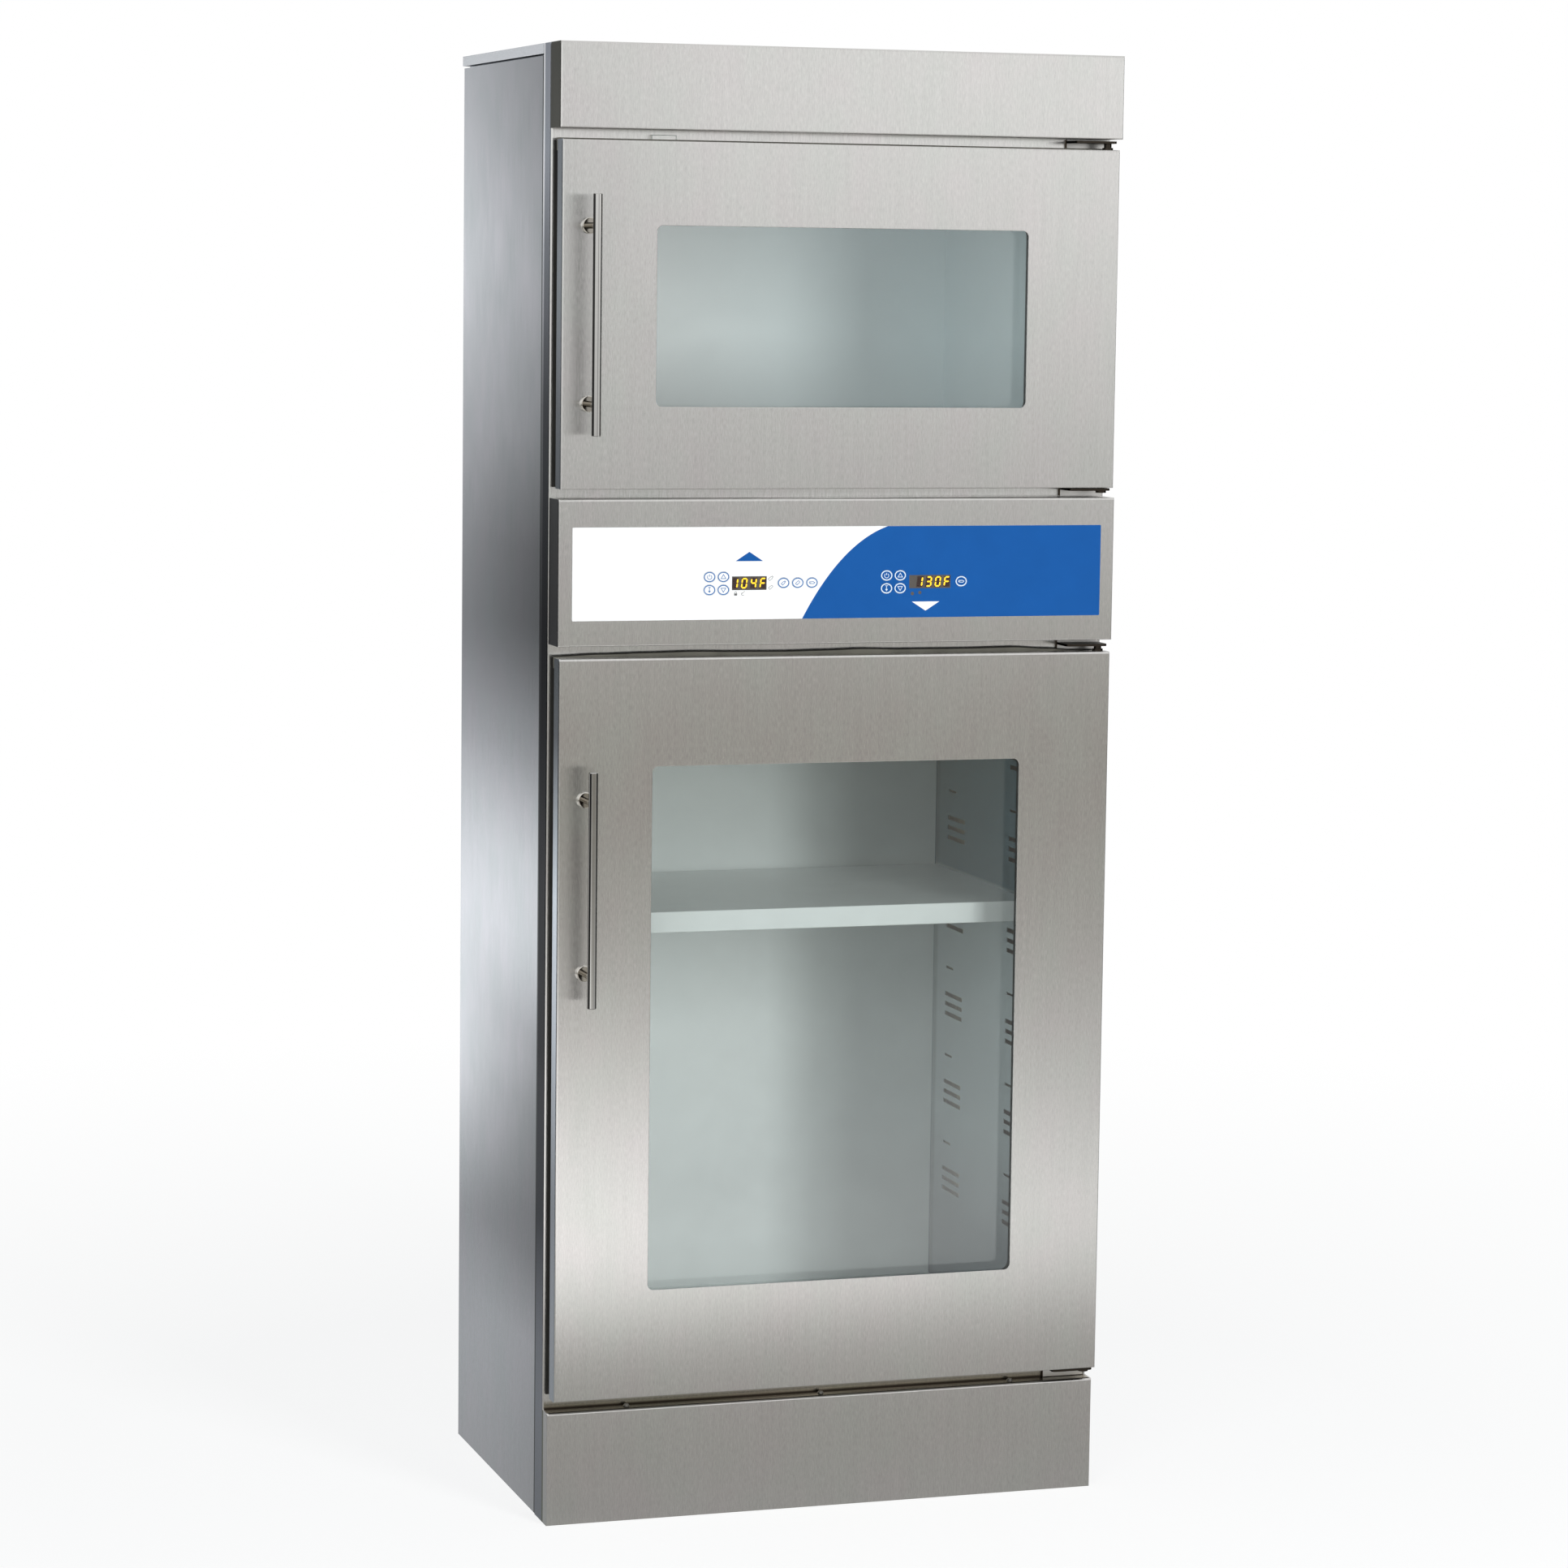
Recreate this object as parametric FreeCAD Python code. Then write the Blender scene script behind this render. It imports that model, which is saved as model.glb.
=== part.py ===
"""Two-chamber blanket warming cabinet: a stainless case with an upper and a lower heated chamber.

Millimetres, +Z up, +X to the right of someone who faces the doors, -Y towards that person.
The origin is on the floor, in the middle of the case's footprint.
"""
import FreeCAD, Part
import math
import os

# ---------------------------------------------------------------- case
CASE_WIDTH = 762.0          # front frame, header, kick panel and top cap
FRAME_DEPTH = 36.0          # side return of the front frame
SKIN = 1.5                  # outer stainless sheet
LINER_SKIN = 1.0            # chamber sheet
SIDE_INSET = 1.0            # side panels stand this far inside the front frame
PANEL_FLANGE = 20.0         # folded edges of the side panels
CAP_SKIRT = 13.0            # turned-down edge of the top cap
CAP_GAP = 3.0               # shadow gap under the top cap
CAP_OVERHANG = 5.0          # top cap past the back
CAP_FRONT_GAP = 2.0         # top cap behind the front frame
CAP_SUPPORT_INSET = 6.0     # upstand of the side panel inside the cap
EDGE_RADIUS = 1.2           # folded front edges

# ---------------------------------------------------------------- front, from the floor up
KICK_HEIGHT = 150.0
KICK_GAP = 20.0
LOWER_DOOR_HEIGHT = 970.0
GAP_UNDER_PANEL = 16.0
PANEL_HEIGHT = 188.0
GAP_OVER_PANEL = 13.0
UPPER_DOOR_HEIGHT = 442.0
HEADER_GAP = 14.0
HEADER_HEIGHT = 108.0

HEADER_DEPTH = 47.5         # header, in front of the frame
PANEL_DEPTH = 46.0          # control housing, in front of the frame
PANEL_SIDE_INSET = 1.5
KICK_DEPTH = 25.0
FRAME_LIP = 18.0            # folded rear edge of the frame's outer returns
THROAT_LIP = 12.0           # folded rear edge around each chamber mouth

# ---------------------------------------------------------------- chambers
CHAMBER_DEPTH = 395.0       # from the seam to the back wall
LOWER_FLOOR_RISE = 33.0     # chamber's floor over its door's bottom edge
LOWER_CEILING_DROP = 55.0   # chamber's ceiling under its door's top edge
UPPER_FLOOR_RISE = 35.0
UPPER_CEILING_DROP = 59.0
DUCT_GAP = 20.0             # air path beside the slotted walls
SIDE_INSULATION = 50.5      # between the air path and the side panel
REAR_INSULATION = 32.0      # between the chamber and the back panel
PLENUM_HEIGHT = 45.0        # blower and heater space over each ceiling
LID_INSULATION = 40.0       # insulation over the plenum
FLOOR_INSULATION = 40.0     # insulation under the upper chamber
LINER_FLANGE = 15.0

SLOT_PITCH = 126.0          # slot groups, one over the other
SLOT_STEP = 14.0            # slots within a group
SLOT_COUNT = 3
SLOT_LENGTH = 70.0
SLOT_HEIGHT = 6.0
SLOT_COLUMNS = (67.0, 311.5)    # column centres behind the seam
CLIP_SLOT_LENGTH = 29.0
CLIP_SLOT_HEIGHT = 3.4
CLIP_SLOT_RISE = 52.5       # over the middle of its slot group
CLIP_SLOT_SHIFT = 17.5      # behind the middle of its column
FIRST_GROUP_RISE = 149.0    # lowest slot group over the lower chamber's floor
UPPER_GROUP_RISE = 35.0     # the only slot group over the upper chamber's floor
INTAKE_SLOTS = 9
INTAKE_PITCH = 14.0
INTAKE_WIDTH = 7.0
INTAKE_RADIUS = 66.0

# ---------------------------------------------------------------- shelf
SHELF_LIP = 28.0
SHELF_SKIN = 1.2
SHELF_SIDE_CLEARANCE = 3.0
SHELF_FRONT_SETBACK = 6.0
SHELF_BACK_CLEARANCE = 6.0
GROUP_COUNT_UNDER_SHELF = 3     # slot groups under the one whose clip slots carry the shelf
CLIP_WIDTH = 26.0
CLIP_LEG = 2.0
CLIP_REACH = 18.0
CLIP_DROP = 20.0
CLIP_HOOK = 8.0
CLIP_HOOK_HEIGHT = 2.8
CLIP_SEAT_RISE = 14.0       # clip's top face over its slot

# ---------------------------------------------------------------- doors
DOOR_SIDE_GAP = 3.5         # door's edge inside the case's side
DOOR_FACE = 46.0            # front face, in front of the frame
DOOR_SHELL_DEPTH = 24.0
DOOR_LIP = 12.0
INNER_PAN_INSET = 4.0
INNER_PAN_DEPTH = 10.0
GASKET_INSET = 12.0
GASKET_WIDTH = 18.0
GASKET_CLEARANCE = 0.3
WINDOW_STILE = 125.5        # door's side edge to the window
WINDOW_RADIUS = 8.0
LOWER_WINDOW_SILL = 142.0   # door's bottom edge to the window
LOWER_WINDOW_HEAD = 140.0   # door's top edge to the window
UPPER_WINDOW_SILL = 105.0
UPPER_WINDOW_HEAD = 107.0
SIGHT_MARGIN = 11.5         # opening of the inner pan past the window
OUTER_GLASS = 6.0
OUTER_GLASS_LAP = 2.0       # past the inner pan's collar
INNER_GLASS = 4.0
INNER_GLASS_CLEARANCE = 0.3
INNER_GLASS_SETBACK = 1.5

# ---------------------------------------------------------------- hinges
PIVOT_FROM_EDGE = 11.5      # door's right edge to the pivot axis
PIVOT_FROM_FACE = 15.0      # door's front face to the pivot axis
PIVOT_RADIUS = 5.0
PIVOT_CLEARANCE = 0.06
PIVOT_ENGAGEMENT = 10.0     # pin inside the door
WASHER_RADIUS = 7.0
WASHER_HEIGHT = 3.0
HINGE_PLATE = 3.0
LOW_PLATE_GAP = 1.0         # door's bottom edge to its hinge plate
LOWER_TOP_PLATE_GAP = 7.0   # door's top edge to its hinge plate
UPPER_TOP_PLATE_GAP = 8.5
HINGE_PLATE_WIDTH = 58.0
HINGE_NOSE = 11.0           # plate past the pivot axis, to the front and to the right
HINGE_FLANGE = 4.0
HINGE_FLANGE_MARGIN = 0.8   # flange inside its gap

# ---------------------------------------------------------------- handles
HANDLE_FROM_EDGE = 36.0     # door's left edge to the handle's axis
HANDLE_LENGTH = 304.8
HANDLE_RADIUS = 6.0
HANDLE_CENTRES = 225.0
HANDLE_STANDOFF = 40.0
HANDLE_CHAMFER = 0.8
POST_RADIUS = 4.0
ROSETTE_RADIUS = 10.5
ROSETTE_HEIGHT = 5.0
ROSETTE_EDGE = 1.5
STUD_RADIUS = 2.5
STUD_CLEARANCE = 0.2
NUT_RADIUS = 5.5
NUT_HEIGHT = 4.0
LOWER_HANDLE_DROP = 294.0   # handle's middle under the top edge of the door
UPPER_HANDLE_DROP = 221.0

# ---------------------------------------------------------------- control panel
OVERLAY_MARGIN = 18.5       # housing's side to the overlay's edge
OVERLAY_HEIGHT = 119.5
OVERLAY_DROP = 1.5          # overlay's middle under the housing's middle
OVERLAY_THICKNESS = 1.2
OVERLAY_CORNER = 1.5
ROW_DROP = 13.0             # key and display row under the overlay's middle
KEY_WIDTH = 16.0
KEY_HEIGHT = 13.8
KEY_END_RADIUS = 6.0        # left and right ends of the oval
KEY_THICKNESS = 0.8
KEY_PROUD = 0.2
KEY_CLEARANCE = 0.3
KEY_PITCH_X = 18.7
KEY_PITCH_Z = 16.8
UPPER_PAD_X = -169.0
UPPER_DISPLAY_X = -124.6
UPPER_DISPLAY_WIDTH = 46.3
UPPER_ROW_X = -59.0
UPPER_ROW_PITCH = 19.3
LOWER_PAD_X = 72.0
LOWER_DISPLAY_X = 122.5
LOWER_DISPLAY_WIDTH = 57.0
LOWER_MODE_X = 165.9
DISPLAY_HEIGHT = 17.2
DISPLAY_DEPTH = 14.0
DISPLAY_RECESS = 0.15
DISPLAY_CLEARANCE = 0.3
BOARD_WIDTH = 420.0
BOARD_HEIGHT = 70.0
BOARD_THICKNESS = 1.6
BOARD_STUD_RADIUS = 3.0
BOARD_STUD_INSET = 8.0

# ---------------------------------------------------------------- air
WHEEL_RADIUS = 62.0
WHEEL_INNER_RADIUS = 48.0
WHEEL_HEIGHT = 28.0
WHEEL_LIFT = 6.0            # wheel over the ceiling
WHEEL_SHEET = 1.5
WHEEL_HUB_RADIUS = 11.0
BLADE_COUNT = 24
BLADE_THICKNESS = 1.2
BLADE_ANGLE = 35.0          # blade to the radius
SHAFT_RADIUS = 4.0
SHAFT_CLEARANCE = 0.05
SHAFT_ENGAGEMENT = 30.0     # shaft inside the motor
SHAFT_HOLE_RADIUS = 9.0     # through the insulation
MOTOR_RADIUS = 42.0
MOTOR_HEIGHT = 55.0
MOTOR_PLATE = 2.5
MOTOR_PLATE_WIDTH = 150.0
HEATER_RADIUS = 95.0
HEATER_TUBE = 4.0
HEATER_LIFT = 16.0
HEATER_FOOT = 8.0
HEATER_FEET = 3
PROBE_RADIUS = 3.0
PROBE_LENGTH = 31.0
PROBE_FLANGE_RADIUS = 8.0
PROBE_FLANGE = 2.0
PROBE_DROP = 30.0           # under the ceiling
PROBE_FROM_WALL = 57.0

# ---------------------------------------------------------------- small parts
SENSOR_WIDTH = 33.0
SENSOR_HEIGHT = 14.0
SENSOR_DEPTH = 6.0
SENSOR_FROM_EDGE = 144.5    # door's left edge to the sensor's middle
SENSOR_OVERLAP = 6.0        # behind the door's top edge
SCREW_HEAD_RADIUS = 4.5
SCREW_HEAD = 2.5
SCREW_HEAD_EDGE = 0.8
SCREW_RADIUS = 2.0
SCREW_LENGTH = 8.0
SCREW_CLEARANCE = 0.2
KICK_SCREW_MARGIN = 112.0   # outer screws from the case's sides
KICK_SCREW_SETBACK = 9.0    # in front of the frame
BACK_SCREW_ROWS = 5
BACK_SCREW_MARGIN = 60.0
GLAND_FROM_SIDE = 131.0
GLAND_RADIUS = 11.0
GLAND_BORE = 5.0
GLAND_FLANGE_RADIUS = 16.0
GLAND_FLANGE = 6.0
GLAND_NOSE = 12.0
GLAND_NUT = 5.0
VENT_COUNT = 4
VENT_PITCH = 14.0
VENT_LENGTH = 110.0
VENT_HEIGHT = 5.0
VENT_FROM_SIDE = 231.0      # case's side to the middle of a vent group
TOUCH = 1e-6                # two planes closer than this are the same

# ---------------------------------------------------------------- planes that follow from the sizes
HALF = CASE_WIDTH / 2
SIDE_DEPTH = CHAMBER_DEPTH + LINER_SKIN + REAR_INSULATION + 2 * SKIN    # from the seam to the back
CASE_DEPTH = FRAME_DEPTH + SIDE_DEPTH
FRONT = -CASE_DEPTH / 2
SEAM = FRONT + FRAME_DEPTH
BACK = SEAM + SIDE_DEPTH
PANEL_X = HALF - SIDE_INSET             # outer face of a side panel
INSIDE_X = PANEL_X - SKIN
INSIDE_FRONT = SEAM + SKIN
INSIDE_BACK = BACK - 2 * SKIN           # front face of the back panel
LOWER_DOOR_BOTTOM = KICK_HEIGHT + KICK_GAP
LOWER_DOOR_TOP = LOWER_DOOR_BOTTOM + LOWER_DOOR_HEIGHT
PANEL_BOTTOM = LOWER_DOOR_TOP + GAP_UNDER_PANEL
PANEL_TOP = PANEL_BOTTOM + PANEL_HEIGHT
UPPER_DOOR_BOTTOM = PANEL_TOP + GAP_OVER_PANEL
UPPER_DOOR_TOP = UPPER_DOOR_BOTTOM + UPPER_DOOR_HEIGHT
HEADER_BOTTOM = UPPER_DOOR_TOP + HEADER_GAP
CASE_TOP = HEADER_BOTTOM + HEADER_HEIGHT
SIDE_TOP = CASE_TOP - CAP_SKIRT - CAP_GAP
CHAMBER_X = INSIDE_X - SIDE_INSULATION - DUCT_GAP - LINER_SKIN
CHAMBER_BACK = SEAM + CHAMBER_DEPTH
CHAMBER_MIDDLE = (SEAM + CHAMBER_BACK) / 2
LOWER_FLOOR = LOWER_DOOR_BOTTOM + LOWER_FLOOR_RISE
LOWER_CEILING = LOWER_DOOR_TOP - LOWER_CEILING_DROP
UPPER_FLOOR = UPPER_DOOR_BOTTOM + UPPER_FLOOR_RISE
UPPER_CEILING = UPPER_DOOR_TOP - UPPER_CEILING_DROP
PROBE_X = CHAMBER_X - PROBE_FROM_WALL
DOOR_X = HALF - DOOR_SIDE_GAP
DOOR_FRONT = FRONT - DOOR_FACE
SHELL_BACK = DOOR_FRONT + DOOR_SHELL_DEPTH
PAN_BACK = SHELL_BACK + INNER_PAN_DEPTH
WINDOW_X = DOOR_X - WINDOW_STILE
LOWER_WINDOW = (LOWER_DOOR_BOTTOM + LOWER_WINDOW_SILL, LOWER_DOOR_TOP - LOWER_WINDOW_HEAD)
UPPER_WINDOW = (UPPER_DOOR_BOTTOM + UPPER_WINDOW_SILL, UPPER_DOOR_TOP - UPPER_WINDOW_HEAD)
PIVOT_X = DOOR_X - PIVOT_FROM_EDGE
PIVOT_Y = DOOR_FRONT + PIVOT_FROM_FACE
HANDLE_X = -DOOR_X + HANDLE_FROM_EDGE
HANDLE_Y = DOOR_FRONT - HANDLE_STANDOFF
SENSOR_X = -DOOR_X + SENSOR_FROM_EDGE
HOUSING_X = HALF - PANEL_SIDE_INSET
PANEL_FRONT = FRONT - PANEL_DEPTH
OVERLAY_X = HOUSING_X - OVERLAY_MARGIN
OVERLAY_FRONT = PANEL_FRONT - OVERLAY_THICKNESS
OVERLAY_Z = (PANEL_BOTTOM + PANEL_TOP) / 2 - OVERLAY_DROP
ROW_Z = OVERLAY_Z - ROW_DROP
BOARD_FRONT = OVERLAY_FRONT + DISPLAY_RECESS + DISPLAY_DEPTH
OUTWARD = FreeCAD.Vector(0, -1, 0)      # out of the front
BACKWARD = FreeCAD.Vector(0, 1, 0)
UP = FreeCAD.Vector(0, 0, 1)

CHAMBERS = {
    "lower": (LOWER_FLOOR, LOWER_CEILING),
    "upper": (UPPER_FLOOR, UPPER_CEILING),
}
DOORS = {
    "lower": (LOWER_DOOR_BOTTOM, LOWER_DOOR_TOP, LOWER_WINDOW, LOWER_DOOR_TOP - LOWER_HANDLE_DROP),
    "upper": (UPPER_DOOR_BOTTOM, UPPER_DOOR_TOP, UPPER_WINDOW, UPPER_DOOR_TOP - UPPER_HANDLE_DROP),
}
DISPLAYS = {
    "lower": (LOWER_DISPLAY_X, LOWER_DISPLAY_WIDTH),
    "upper": (UPPER_DISPLAY_X, UPPER_DISPLAY_WIDTH),
}


# ================================================================ helpers
def at(x, y, z):
    return FreeCAD.Vector(x, y, z)


def block(x0, x1, y0, y1, z0, z1):
    """An upright block between two corners."""
    return Part.makeBox(x1 - x0, y1 - y0, z1 - z0, at(x0, y0, z0))


def rod(radius, base, length, direction):
    return Part.makeCylinder(radius, length, base, direction)


def along_y(edge):
    first, last = edge.Vertexes[0].Point, edge.Vertexes[-1].Point
    return abs(first.x - last.x) + abs(first.z - last.z) < TOUCH


def rounded_block(x0, x1, y0, y1, z0, z1, radius):
    """A block whose four edges along Y are rounded."""
    body = block(x0, x1, y0, y1, z0, z1)
    return body.makeFillet(radius, [edge for edge in body.Edges if along_y(edge)])


def soften_front(body, y, radius):
    """Round the straight edges that lie in the plane y."""
    edges = [edge for edge in body.Edges if all(abs(v.Point.y - y) < TOUCH for v in edge.Vertexes)]
    return body.makeFillet(radius, edges)


def front_box(x0, x1, y0, y1, z0, z1):
    """A sheet-metal box that is open at the back, y1."""
    body = soften_front(block(x0, x1, y0, y1, z0, z1), y0, EDGE_RADIUS)
    return body.cut(block(x0 + SKIN, x1 - SKIN, y0 + SKIN, y1 + SKIN, z0 + SKIN, z1 - SKIN))


def merge(solids):
    """Fuse touching solids into one clean solid."""
    body = solids[0]
    if len(solids) > 1:
        body = body.multiFuse(solids[1:])
    return body.removeSplitter()


def write(name, shape):
    shape.exportStep(os.path.join("parts", name + ".step"))


# ================================================================ case
def side_panel(side):
    """Folded side sheet, with an upstand that carries the top cap."""
    outer = side * PANEL_X
    inner = side * INSIDE_X
    lo, hi = min(outer, inner), max(outer, inner)
    flange_end = side * (INSIDE_X - PANEL_FLANGE)
    flange_lo, flange_hi = min(inner, flange_end), max(inner, flange_end)
    upstand = side * (INSIDE_X - CAP_SUPPORT_INSET)
    upstand_end = upstand - side * SKIN
    up_lo, up_hi = min(upstand, upstand_end), max(upstand, upstand_end)
    shelf_lo, shelf_hi = min(inner, upstand_end), max(inner, upstand_end)
    cap_start = SEAM + CAP_FRONT_GAP + SKIN
    body = merge([
        block(lo, hi, SEAM, BACK, 0, SIDE_TOP),
        block(flange_lo, flange_hi, SEAM, SEAM + SKIN, 0, SIDE_TOP),
        block(flange_lo, flange_hi, BACK - SKIN, BACK, 0, SIDE_TOP),
        block(shelf_lo, shelf_hi, SEAM, BACK, SIDE_TOP - SKIN, SIDE_TOP),
        block(up_lo, up_hi, cap_start, BACK - SKIN, SIDE_TOP, CASE_TOP - SKIN),
    ])
    return body.cut(back_screw_holes())


def back_screw_points():
    """Screws through the side panels' rear flanges."""
    span = SIDE_TOP - 2 * BACK_SCREW_MARGIN
    x = INSIDE_X - PANEL_FLANGE / 2
    rows = [BACK_SCREW_MARGIN + span * row / (BACK_SCREW_ROWS - 1) for row in range(BACK_SCREW_ROWS)]
    return [at(side * x, BACK, z) for side in (-1, 1) for z in rows]


def kick_screw_points():
    """Screws down through the kick panel's top."""
    y = FRONT - KICK_SCREW_SETBACK
    spacing = HALF - KICK_SCREW_MARGIN
    return [at(x, y, KICK_HEIGHT) for x in (-spacing, 0.0, spacing)]


def screw(point, outward):
    head = rod(SCREW_HEAD_RADIUS, point, SCREW_HEAD, outward)
    rim = [edge for edge in head.Edges if (edge.BoundBox.Center - point).dot(outward) > SCREW_HEAD - TOUCH]
    shank = rod(SCREW_RADIUS, point, SCREW_LENGTH, outward * -1)
    return merge([head.makeFillet(SCREW_HEAD_EDGE, rim[:1]), shank])


def screw_hole(point, outward):
    start = point + outward * SKIN
    return rod(SCREW_RADIUS + SCREW_CLEARANCE, start, SCREW_LENGTH + 2 * SKIN, outward * -1)


def back_screw_holes():
    return [screw_hole(point, BACKWARD) for point in back_screw_points()]


def back_panel():
    """Rear sheet, with cooling slots and the cord entry."""
    body = block(-INSIDE_X, INSIDE_X, INSIDE_BACK, BACK - SKIN, 0, SIDE_TOP - SKIN)
    cuts = back_screw_holes()
    cuts.append(rod(GLAND_RADIUS, gland_point() - BACKWARD * 3 * SKIN, 4 * SKIN, BACKWARD))
    top_group = (UPPER_CEILING + PLENUM_HEIGHT + LID_INSULATION + SIDE_TOP) / 2
    for middle in (ROW_Z, top_group):
        for row in range(VENT_COUNT):
            z = middle + (row - (VENT_COUNT - 1) / 2) * VENT_PITCH
            for x in (VENT_FROM_SIDE - HALF, HALF - VENT_FROM_SIDE):
                cuts.append(block(x - VENT_LENGTH / 2, x + VENT_LENGTH / 2, INSIDE_BACK - SKIN, BACK,
                                  z - VENT_HEIGHT / 2, z + VENT_HEIGHT / 2))
    return body.cut(cuts)


def top_cap():
    """Shallow lid that covers the top from the front frame to past the back."""
    front = SEAM + CAP_FRONT_GAP
    back = BACK + CAP_OVERHANG
    body = block(-HALF, HALF, front, back, CASE_TOP - CAP_SKIRT, CASE_TOP)
    hollow = block(-HALF + SKIN, HALF - SKIN, front + SKIN, back - SKIN,
                   CASE_TOP - CAP_SKIRT, CASE_TOP - SKIN)
    return body.cut(hollow)


def chamber_mouth(floor, ceiling, grow):
    return block(-CHAMBER_X - grow, CHAMBER_X + grow, FRONT - SKIN, SEAM + SKIN,
                 floor - grow, ceiling + grow)


def front_frame():
    """Folded face frame around both chamber mouths."""
    body = block(-HALF, HALF, FRONT, SEAM, 0, CASE_TOP)
    hollow = block(-HALF + SKIN, HALF - SKIN, FRONT + SKIN, SEAM - SKIN, SKIN, CASE_TOP - SKIN)
    rear = block(-HALF + FRAME_LIP, HALF - FRAME_LIP, SEAM - SKIN, SEAM,
                 FRAME_LIP, CASE_TOP - FRAME_LIP)
    mouths = [chamber_mouth(floor, ceiling, 0) for floor, ceiling in CHAMBERS.values()]
    throats = [chamber_mouth(floor, ceiling, SKIN) for floor, ceiling in CHAMBERS.values()]
    lips = [chamber_mouth(floor, ceiling, THROAT_LIP) for floor, ceiling in CHAMBERS.values()]
    body = body.cut(hollow.cut(throats)).cut(rear.cut(lips)).cut(mouths)
    return body.removeSplitter()


def header_panel():
    return front_box(-HALF, HALF, FRONT - HEADER_DEPTH, FRONT, HEADER_BOTTOM, CASE_TOP)


def kick_panel():
    body = front_box(-HALF, HALF, FRONT - KICK_DEPTH, FRONT, 0, KICK_HEIGHT)
    return body.cut([screw_hole(point, UP) for point in kick_screw_points()])


def base_pan():
    """Plinth tray: it rests on the floor and carries the lower insulation on its folded rim."""
    outer = block(-INSIDE_X, INSIDE_X, INSIDE_FRONT, INSIDE_BACK, 0, KICK_HEIGHT)
    hollow = block(-INSIDE_X + SKIN, INSIDE_X - SKIN, INSIDE_FRONT + SKIN, INSIDE_BACK - SKIN,
                   SKIN, KICK_HEIGHT - SKIN)
    mouth = block(-INSIDE_X + PANEL_FLANGE, INSIDE_X - PANEL_FLANGE,
                  INSIDE_FRONT + PANEL_FLANGE, INSIDE_BACK - PANEL_FLANGE,
                  KICK_HEIGHT - SKIN, KICK_HEIGHT)
    return outer.cut([hollow, mouth] + back_screw_holes())


def panel_screws():
    back = [screw(point, BACKWARD) for point in back_screw_points()]
    kick = [screw(point, UP) for point in kick_screw_points()]
    return Part.makeCompound(back + kick)


def gland_point():
    """Middle of the cord entry, on the outer face of the back panel."""
    return at(HALF - GLAND_FROM_SIDE, BACK - SKIN, ROW_Z)


def cord_gland():
    """Cord entry: a flange and a nose outside, a nut inside."""
    point = gland_point()
    inner_face = point - BACKWARD * SKIN
    start = inner_face - BACKWARD * GLAND_NUT
    body = merge([
        rod(GLAND_RADIUS, inner_face, SKIN, BACKWARD),
        rod(GLAND_FLANGE_RADIUS, point, GLAND_FLANGE, BACKWARD),
        rod(GLAND_RADIUS, point + BACKWARD * GLAND_FLANGE, GLAND_NOSE, BACKWARD),
        rod(GLAND_FLANGE_RADIUS, start, GLAND_NUT, BACKWARD),
    ])
    return body.cut(rod(GLAND_BORE, start, GLAND_NUT + SKIN + GLAND_FLANGE + GLAND_NOSE, BACKWARD))


# ================================================================ chambers
def lower_groups():
    """Heights of the slot groups that fit between the lower chamber's floor and ceiling."""
    heights = []
    z = LOWER_FLOOR + FIRST_GROUP_RISE
    while z + SLOT_STEP * SLOT_COUNT < LOWER_CEILING:
        heights.append(z)
        z += SLOT_PITCH
    return heights


def clip_slot(group_z, column):
    """Centre of the single slot over a group, in y and z."""
    return SEAM + column + CLIP_SLOT_SHIFT, group_z + CLIP_SLOT_RISE


def wall_slot(y, z, length, height):
    """A cut through both side walls of a liner."""
    reach = CHAMBER_X + 2 * LINER_SKIN
    return block(-reach, reach, y - length / 2, y + length / 2, z - height / 2, z + height / 2)


def group_slots(heights):
    cuts = []
    for group_z in heights:
        for column in SLOT_COLUMNS:
            for index in range(SLOT_COUNT):
                z = group_z + (index - (SLOT_COUNT - 1) / 2) * SLOT_STEP
                cuts.append(wall_slot(SEAM + column, z, SLOT_LENGTH, SLOT_HEIGHT))
    return cuts


def clip_slots():
    """The single slots of the lower chamber that lie clear of its ceiling."""
    centres = [clip_slot(group_z, column) for group_z in lower_groups() for column in SLOT_COLUMNS]
    return [wall_slot(y, z, CLIP_SLOT_LENGTH, CLIP_SLOT_HEIGHT) for y, z in centres
            if z + CLIP_SLOT_HEIGHT * 2 <= LOWER_CEILING]


def intake_slots(ceiling):
    """Parallel slots within a circle under the blower wheel."""
    cuts = []
    for index in range(INTAKE_SLOTS):
        offset = (index - (INTAKE_SLOTS - 1) / 2) * INTAKE_PITCH
        half = math.sqrt(INTAKE_RADIUS ** 2 - offset ** 2)
        y = CHAMBER_MIDDLE + offset
        cuts.append(block(-half, half, y - INTAKE_WIDTH / 2, y + INTAKE_WIDTH / 2,
                          ceiling - LINER_SKIN, ceiling + 2 * LINER_SKIN))
    return cuts


def probe_point(ceiling):
    return at(PROBE_X, CHAMBER_BACK, ceiling - PROBE_DROP)


def liner(floor, ceiling, side_cuts):
    """Open-fronted chamber of thin sheet, with cuts in its side walls and a slotted ceiling."""
    shell = LINER_SKIN
    body = block(-CHAMBER_X - shell, CHAMBER_X + shell, SEAM, CHAMBER_BACK + shell,
                 floor - shell, ceiling + shell)
    flange = block(-CHAMBER_X - LINER_FLANGE, CHAMBER_X + LINER_FLANGE, SEAM, SEAM + shell,
                   floor - LINER_FLANGE, ceiling + LINER_FLANGE)
    hollow = block(-CHAMBER_X, CHAMBER_X, SEAM - shell, CHAMBER_BACK, floor, ceiling)
    probe_hole = rod(PROBE_RADIUS, probe_point(ceiling), shell, BACKWARD)
    cuts = side_cuts + intake_slots(ceiling) + [probe_hole]
    return merge([body, flange]).cut(hollow).cut(cuts)


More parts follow.
